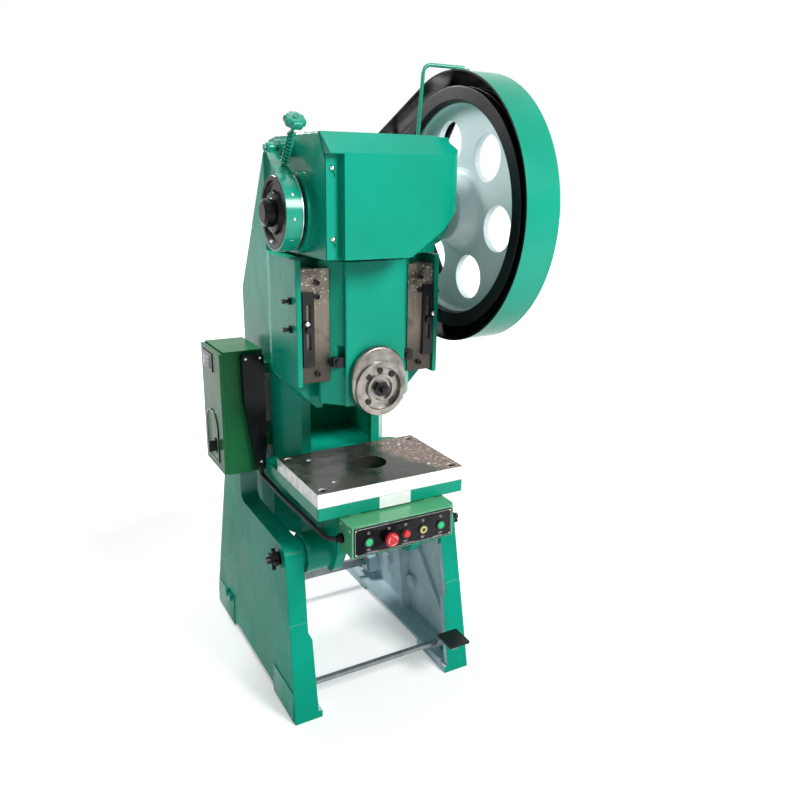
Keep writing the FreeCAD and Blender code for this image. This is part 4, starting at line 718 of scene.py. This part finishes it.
def makeCap(name, facts):
    x, height = consoleFacts["buttons"][facts["button"]], consoleFacts["buttonHeight"]
    root = capFacts["root"]
    cap = newDisc(name, (x, root, height), (0, -1, 0), facts["radius"], root - facts["face"], 40)
    stepOut(cap, (0, -1, 0), (x, 0, height), facts["steps"])
    softenEdges(cap, capFacts["edge"], 2, 20)
    fitPiece(cap, facts["body"], facts["finish"])
    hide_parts(facts["node"])


for name, facts in capFacts["caps"].items():
    makeCap(name, facts)
print("stage: console")


# small screws with a sunk face, modelled once for each row and copied

screwFacts = {
    "radius": 0.0034, "rise": 0.0019, "foot": 0.4, "steps": [(0.35, 0.86), (0.2, 0.72)],  # shares of the rise
    "wall": 0.22, "sink": 0.5,  # share of the radius, share of the rise
    "rows": {
        "consoleScrewsLeft": ((-1, 0, 0), 1.0, [(-0.1563, -0.452, 0.612), (-0.1563, -0.398, 0.612)]),
        "consoleScrewsRight": ((1, 0, 0), 1.0, [(0.1563, -0.452, 0.612), (0.1563, -0.398, 0.612)]),
        "panelScrews": ((0, -1, 0), 0.7, [(-0.1455, -0.467, 0.6155), (0.1455, -0.467, 0.6155),
                                          (-0.1455, -0.467, 0.5455), (0.1455, -0.467, 0.5455)]),
        "shroudScrews": ((0, -1, 0), 1.2, [(-0.275, -0.009, 0.990), (-0.232, -0.009, 0.990), (-0.240, -0.009, 0.668)]),
    },
}


def makeScrew(name, direction, radius, rise):
    facts = screwFacts
    head = newDisc(name, (0, 0, 0), direction, radius, rise * facts["foot"], 16)
    stepOut(head, direction, (0, 0, 0), [(rise * share, size) for share, size in facts["steps"]])
    sinkFace(head, direction, radius * facts["wall"], rise * facts["sink"], 0.0002)
    return head


def placeScrews(name, direction, size, spots):
    first = makeScrew(name, direction, screwFacts["radius"] * size, screwFacts["rise"] * size)
    copies = [copyTo(first, name + str(count), Vector(spot)) for count, spot in enumerate(spots)]
    bpy.data.objects.remove(first)
    fitPiece(joinUp(copies, name), "press_frame", "steel")


for name, row in screwFacts["rows"].items():
    placeScrews(name, *row)
print("stage: screws")


# bare plate on the table's front edge

noticeFacts = {"low": (-0.0443, -0.4058, 0.6345), "high": (0.0530, -0.4050, 0.6695), "border": 0.0016,
               "sink": 0.0003, "edge": 0.00015}


def makeNotice():
    facts = noticeFacts
    plate = newPlate("bareNotice", facts["low"], facts["high"])
    sinkFace(plate, (0, -1, 0), facts["border"], facts["sink"])
    softenEdges(plate, facts["edge"], 1)
    fitPiece(plate, "press_frame", "plate")


makeNotice()


# electric box: display, isolator plate with its rim, hinges

boxFacts = {
    "doorFace": -0.347, "windowFace": -0.350, "window": ((0.100, 0.944), (0.178, 0.984)), "glass": (0.0008, 0.0004),
    "blockRows": (0.9515, 0.9640, 0.9765), "blockColumns": (0.121, 0.157), "blockHalf": (0.011, 0.0030),
    "block": (0.0011, -0.0006), "arch": ((0.066, 0.655), (0.180, 0.812)), "archRise": (0.0030, 0.0004),
    "archRound": 0.054, "rim": 0.0035, "archSink": 0.0014, "rimWidth": 0.75, "rimSink": 0.0018, "rimProud": 0.0006,
    "hinge": (-0.3405, 0.2085), "hingeHeights": (0.700, 0.925), "hingeRadius": 0.0042, "hingeLength": 0.052,
    "hingeEnd": [(0.0008, 0.8), (0.0004, 0.6)],
}


def doorPlate(name, face, rise, corners, rounding, steps=3, above=None):
    # a plate on the door's outside, rise metres proud of a face and a little way into it
    (y0, z0), (y1, z1) = corners
    return newPlate(name, (face - rise[0], y0, z0), (face + rise[1], y1, z1), rounding, steps, "x", above)


def dressBox():
    facts = boxFacts
    glass = doorPlate("displayGlass", facts["windowFace"], facts["glass"], facts["window"], 0.002)
    softenEdges(glass, 0.0003)
    fitPiece(glass, "door", "display")
    halfWide, halfHigh = facts["blockHalf"]
    blocks = [doorPlate("displayBlock", facts["windowFace"], facts["block"],
                        ((y - halfWide, z - halfHigh), (y + halfWide, z + halfHigh)), 0.0008, 2)
              for y in facts["blockColumns"] for z in facts["blockRows"]]
    fitPiece(joinUp(blocks, "displayBlocks"), "door", "digit")
    middle = (facts["arch"][0][1] + facts["arch"][1][1]) / 2
    arch = doorPlate("isolatorPlate", facts["doorFace"], facts["archRise"], facts["arch"], facts["archRound"],
                     12, middle)
    rim = copyTo(arch, "isolatorPlateRim", (-facts["rimProud"], 0, 0))
    sinkFace(arch, (-1, 0, 0), facts["rim"], facts["archSink"])
    softenEdges(arch, 0.0004)
    fitPiece(arch, "door", "box")
    takeUp(rim)
    sinkFace(rim, (-1, 0, 0), facts["rim"] * facts["rimWidth"], facts["rimSink"], opened=True)
    fitPiece(rim, "door", "silver")
    barrels = []
    x, y = facts["hinge"]
    for z in facts["hingeHeights"]:
        barrel = newDisc("hingeBarrel", (x, y, z), (0, 0, 1), facts["hingeRadius"], facts["hingeLength"], 24)
        stepOut(barrel, (0, 0, 1), (x, y, 0), facts["hingeEnd"])
        stepOut(barrel, (0, 0, -1), (x, y, 0), facts["hingeEnd"])
        barrels.append(barrel)
    fitPiece(joinUp(barrels, "doorHinges"), "press_frame", "box")


dressBox()
print("stage: box and plates")


# brake band: rivets round it and a bright ring at its inner edge

bandFacts = {
    "radius": 0.0964, "middle": -0.2355, "rivets": (20, 62, 151, 187, 222, 258, 300), "rivetRadius": 0.0035,
    "rivetRise": 0.0009, "rivetFoot": 0.0002, "rivetEdge": 0.0006,
    "ringLow": -0.2138, "ringHigh": -0.2118, "ringWall": 0.0022, "ringProud": 0.0006,
}


def dressBand():
    facts = bandFacts
    rivets = []
    for turn in facts["rivets"]:
        angle = math.radians(turn)
        away = Vector((0, math.cos(angle), math.sin(angle)))
        foot = crankLine + away * (facts["radius"] - facts["rivetFoot"]) + Vector((facts["middle"], 0, 0))
        rivet = newDisc("bandRivet", foot, away, facts["rivetRadius"], facts["rivetRise"], 12)
        softenEdges(rivet, facts["rivetEdge"], 2, 60)
        rivets.append(rivet)
    fitPiece(joinUp(rivets, "bandRivets"), "press_frame", "steel")
    clearSelection()
    middle = Vector(((facts["ringLow"] + facts["ringHigh"]) / 2, 0, 0))
    bpy.ops.mesh.primitive_cylinder_add(vertices=96, radius=facts["radius"] + facts["ringProud"],
                                        depth=facts["ringHigh"] - facts["ringLow"], end_fill_type="NOTHING",
                                        rotation=(0, math.radians(90), 0), location=crankLine + middle)
    ring = bpy.context.object
    ring.name = "bandEdgeRing"
    bpy.ops.object.transform_apply(location=True, rotation=True, scale=True)
    reshape(ring, "SOLIDIFY", thickness=facts["ringWall"], offset=-1)
    fitPiece(ring, "press_frame", "steel")


dressBand()


# strap of the brake in two lengths with the joint between them, laid flat and then leant back

strapFacts = {
    "start": Vector((0, -0.2710, 1.49674)), "lean": math.radians(28.5), "low": -0.2555, "high": -0.2105,
    "wall": 0.006, "tail": -0.006, "joint": 0.0205, "gap": 0.0006, "shoulder": 0.122, "shoulderWidth": 0.72,
    "neck": 0.1415, "neckWidth": 0.66, "pin": 0.1505, "eye": (-0.238, -0.216), "eyeRadius": 0.013,
    "edge": 0.0006, "eyeEdge": 0.0010,
}


def dressStrap():
    facts = strapFacts
    low, high, wall = facts["low"], facts["high"], facts["wall"]
    short = newPlate("strapEnd", (low, facts["tail"], -wall), (high, facts["joint"] - facts["gap"], 0))
    softenEdges(short, facts["edge"])
    long = newPlate("strapLength", (low, facts["joint"] + facts["gap"], -wall), (high, facts["shoulder"], 0))
    pickFaces(long, (0, 1, 0))
    bpy.ops.transform.resize(value=(facts["shoulderWidth"], 1, 1), center_override=(high, 0, 0))
    pushOut((0, facts["neck"] - facts["shoulder"], 0))
    bpy.ops.transform.resize(value=(facts["neckWidth"], 1, 1), center_override=(sum(facts["eye"]) / 2, 0, -wall / 2))
    bpy.ops.object.mode_set(mode="OBJECT")
    softenEdges(long, facts["edge"])
    eye = newDisc("strapEye", (facts["eye"][0], facts["pin"], 0), (1, 0, 0), facts["eyeRadius"],
                  facts["eye"][1] - facts["eye"][0], 40)
    softenEdges(eye, facts["eyeEdge"])
    strap = joinUp([short, long, eye], "brakeStrapDressed")
    strap.data.transform(Matrix.Translation(facts["start"]) @ Matrix.Rotation(facts["lean"], 4, "X"))
    fitPiece(strap, "press_frame", "strip")
    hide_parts("brake_strap")


# spring on the brake's rod, wound upright from one round section

rodWay = Vector((0, -0.615661, 0.788011))
springFacts = {"foot": Vector((-0.222, -0.2209, 1.5239)), "low": 0.0085, "pitch": 0.0097, "turns": 9, "steps": 28,
               "radius": 0.0092, "wire": 0.0019, "sides": 10}


def stand(piece, foot, way):
    # turns a mesh made along Z to look along a way, and sets it on its foot
    piece.data.transform(Matrix.Translation(foot) @ way.to_track_quat("Z", "Y").to_matrix().to_4x4())


def windSpring():
    facts = springFacts
    clearSelection()
    bpy.ops.mesh.primitive_circle_add(vertices=facts["sides"], radius=facts["wire"], location=(0, 0, 0),
                                      rotation=(math.radians(90), 0, 0))
    spring = bpy.context.object
    spring.name = "brakeSpringDressed"
    bpy.ops.object.transform_apply(location=True, rotation=True, scale=True)
    spring.data.transform(Matrix.Translation((facts["radius"], 0, 0)))
    reshape(spring, "SCREW", axis="Z", screw_offset=facts["pitch"], iterations=facts["turns"], steps=facts["steps"],
            render_steps=facts["steps"])
    bpy.ops.object.mode_set(mode="EDIT")
    bpy.ops.mesh.select_all(action="SELECT")
    bpy.ops.mesh.fill_holes(sides=0)
    bpy.ops.mesh.select_all(action="SELECT")
    bpy.ops.mesh.normals_make_consistent(inside=False)
    bpy.ops.object.mode_set(mode="OBJECT")
    stand(spring, facts["foot"] + rodWay * facts["low"], rodWay)
    fitPiece(spring, "press_frame", "dull strip", 60)
    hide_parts("brake_spring")


dressStrap()
windSpring()


# hand knob of the brake, with eight shallow scallops round it

knobFacts = {
    "foot": Vector((-0.222, -0.2899, 1.6122)), "radius": 0.0315, "waist": 0.74, "low": 0.0085, "thick": 0.0150,
    "topSteps": [(0.0035, 0.82), (0.0012, 0.62), (0.0002, 0.5)],
    "lowSteps": [(0.0030, 0.72), (0.0030, 0.58), (0.0020, 0.9)],
    "hubHeight": 0.0275, "hubRadius": 0.0085, "hubRise": 0.0030, "hubWall": 0.0030, "hubSink": 0.0020, "edge": 0.0006,
}


def makeKnob():
    facts = knobFacts
    cap = newDisc("brakeKnobCap", (0, 0, facts["low"]), (0, 0, 1), facts["radius"], facts["thick"], 16)
    pickEdges(cap, "z", near=lambda middle: abs(math.sin(4 * math.atan2(middle.y, middle.x))) < 0.5)
    bpy.ops.transform.resize(value=(facts["waist"], facts["waist"], 1), center_override=(0, 0, 0))
    bpy.ops.object.mode_set(mode="OBJECT")
    stepOut(cap, (0, 0, 1), (0, 0, 0), facts["topSteps"])
    stepOut(cap, (0, 0, -1), (0, 0, 0), facts["lowSteps"])
    reshape(cap, "SUBSURF", levels=2, render_levels=2)
    hub = newDisc("brakeKnobHub", (0, 0, facts["hubHeight"]), (0, 0, 1), facts["hubRadius"], facts["hubRise"], 24)
    sinkFace(hub, (0, 0, 1), facts["hubWall"], facts["hubSink"])
    softenEdges(hub, facts["edge"])
    knob = joinUp([cap, hub], "brakeKnobDressed")
    stand(knob, facts["foot"], rodWay)
    fitPiece(knob, "brake_knob", "strip", 50)
    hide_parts("brake_knob")


makeKnob()


# oblong collar behind the die clamp

collarFacts = {"low": (-0.0785, -0.3180, 0.8715), "high": (0.0785, -0.2938, 1.0640), "round": 0.0775, "edge": 0.007}


def makeCollar():
    facts = collarFacts
    collar = newPlate("clampCollar", facts["low"], facts["high"], facts["round"], 14)
    softenEdges(collar, facts["edge"], 4, 50)
    fitPiece(collar, "slide", "oiled")


# bright heads on the knock-out stops beside the gibs

headFacts = {"spots": [(-0.1903, -0.2716, 1.133), (0.1903, -0.2716, 1.133)], "radius": 0.0068, "length": 0.0085,
             "edge": 0.0010}


def makeStopHeads():
    facts = headFacts
    heads = []
    for spot in facts["spots"]:
        head = newDisc("stopBolt", spot, (0, -1, 0), facts["radius"], facts["length"], 6)
        softenEdges(head, facts["edge"])
        heads.append(head)
    fitPiece(joinUp(heads, "stopBolts"), "press_frame", "steel")


makeCollar()
makeStopHeads()


# black ring inside the guard's far edge, a sheet of painted shade that darkens the gap beside the wheel's rim

shadeLipFacts = {"near": 0.3515, "far": 0.3539, "inner": 0.3180, "outer": 0.3450, "turn": 65.9, "steps": 64}


def makeShadeLip():
    facts = shadeLipFacts
    angle = math.radians(facts["turn"])
    away = Vector((0, math.cos(angle), math.sin(angle)))
    across = Vector(((facts["far"] + facts["near"]) / 2, 0, 0))
    clearSelection()
    bpy.ops.mesh.primitive_plane_add(size=1, location=(0, 0, 0))
    lip = bpy.context.object
    lip.name = "guardShadeLip"
    lip.scale = (facts["far"] - facts["near"], facts["outer"] - facts["inner"], 1)
    bpy.ops.object.transform_apply(location=True, rotation=True, scale=True)
    lip.rotation_euler = (angle, 0, 0)
    lip.location = crankLine + away * ((facts["inner"] + facts["outer"]) / 2) + across
    bpy.ops.object.transform_apply(location=True, rotation=True, scale=True)
    bpy.ops.object.mode_set(mode="EDIT")
    bpy.ops.mesh.select_all(action="SELECT")
    bpy.ops.mesh.spin(steps=facts["steps"], angle=-2 * (math.pi - angle), center=tuple(crankLine), axis=(1, 0, 0))
    bpy.ops.mesh.select_all(action="SELECT")
    bpy.ops.mesh.remove_doubles(threshold=0.00001)
    bpy.ops.mesh.normals_make_consistent(inside=False)
    bpy.ops.object.mode_set(mode="OBJECT")
    fitPiece(lip, "press_frame", "guard shade lip")


makeShadeLip()


# raised zones that the moulder's pattern left on the feet, made for the left leg and mirrored for the right

footFacts = {
    "face": 0.2931, "lean": math.radians(1.7), "rise": 0.0025, "root": 0.001, "bottom": 0.002, "top": 0.095,
    "zones": [(-0.362, -0.201), (0.191, 0.366)], "round": 0.004, "edge": 0.0012,
}


def addFootZones(side):
    facts = footFacts
    zones = []
    for front, back in facts["zones"]:
        zone = newPlate("footZone", (-facts["rise"], front, facts["bottom"]), (facts["root"], back, facts["top"]),
                        facts["round"], 3, "x")
        softenEdges(zone, facts["edge"], 2, 40)
        zones.append(zone)
    both = joinUp(zones, "footZonesLeft" if side < 0 else "footZonesRight")
    both.data.transform(Matrix.Translation((-facts["face"], 0, 0)) @ Matrix.Rotation(facts["lean"], 4, "Y"))
    if side > 0:
        both.data.transform(Matrix.Scale(-1, 4, (1, 0, 0)))
        both.data.flip_normals()
    fitPiece(both, "stand", "casting")


addFootZones(-1)
addFootZones(1)
print("stage: brake and feet")


# floor and light

floorFacts = {"size": 40.0, "height": -0.0005, "tones": [(0.90, 0.90, 0.90), (0.92, 0.92, 0.92)], "lift": 0.34,
              "fade": (1.2, 3.0)}


def seenRays(tree):
    # 1 for the rays that carry the picture: straight to the camera, mirrored or through glass
    rays = addNode(tree, "ShaderNodeLightPath")
    seen = compute(tree, "MAXIMUM", rays.outputs["Is Camera Ray"], rays.outputs["Is Transmission Ray"])
    return compute(tree, "MAXIMUM", seen, rays.outputs["Is Glossy Ray"])


def layFloor():
    # pale paper that keeps the shadow near the press and fades into the white background
    facts = floorFacts
    clearSelection()
    bpy.ops.mesh.primitive_plane_add(size=facts["size"], location=(0, 0, facts["height"]))
    floor = bpy.context.object
    floor.name = "studioFloor"
    bpy.ops.object.transform_apply(location=True)
    material, tree, shader, place = startFinish("floorPaper", 0.9, shine=0.1)
    colourInto(tree, shader, mixColours(tree, noiseBetween(tree, place, 2.0, 0.3, 0.7), *facts["tones"]))
    distance = addNode(tree, "ShaderNodeVectorMath", {0: place.outputs["Object"]}, operation="LENGTH").outputs["Value"]
    lift = compute(tree, "ADD", facts["lift"], ramp(tree, distance, *facts["fade"]))
    shader.inputs["Emission Color"].default_value = (1, 1, 1, 1)
    tree.links.new(compute(tree, "MULTIPLY", seenRays(tree), lift), shader.inputs["Emission Strength"])
    floor.data.materials.append(material)


lampFacts = {
    "keyLamp": {"place": (1.35, -3.5, 3.2), "aim": (0, 0, 0.95), "size": 1.4, "power": 172},
    "backLamp": {"place": (-0.35, 1.0, 2.4), "aim": (0.3, -0.2, 1.4), "size": 0.6, "power": 38},
    "topLamp": {"place": (0.0, 0.6, 4.4), "aim": (0, 0, 0.6), "size": 2.4, "power": 30},
}
worldFacts = {"onThePress": 0.18, "background": 1.0}


def addLamp(name, facts):
    light = bpy.data.lights.new(name, "AREA")
    light.size = facts["size"]
    light.energy = facts["power"]
    lamp = bpy.data.objects.new(name, light)
    bpy.context.scene.collection.objects.link(lamp)
    lamp.location = facts["place"]
    lamp.rotation_euler = (Vector(facts["aim"]) - Vector(facts["place"])).to_track_quat("-Z", "Y").to_euler()


def setWorld():
    world = bpy.data.worlds.new("studioWorld")
    bpy.context.scene.world = world
    world.use_nodes = True
    tree = world.node_tree
    strength = addNode(tree, "ShaderNodeMapRange", {"Value": seenRays(tree), "To Min": worldFacts["onThePress"],
                                                    "To Max": worldFacts["background"]})
    tree.nodes["Background"].inputs["Color"].default_value = (1, 1, 1, 1)
    tree.links.new(strength.outputs["Result"], tree.nodes["Background"].inputs["Strength"])


layFloor()
for name, facts in lampFacts.items():
    addLamp(name, facts)
setWorld()
bpy.context.scene.view_settings.view_transform = "Standard"
print("stage: floor and light")
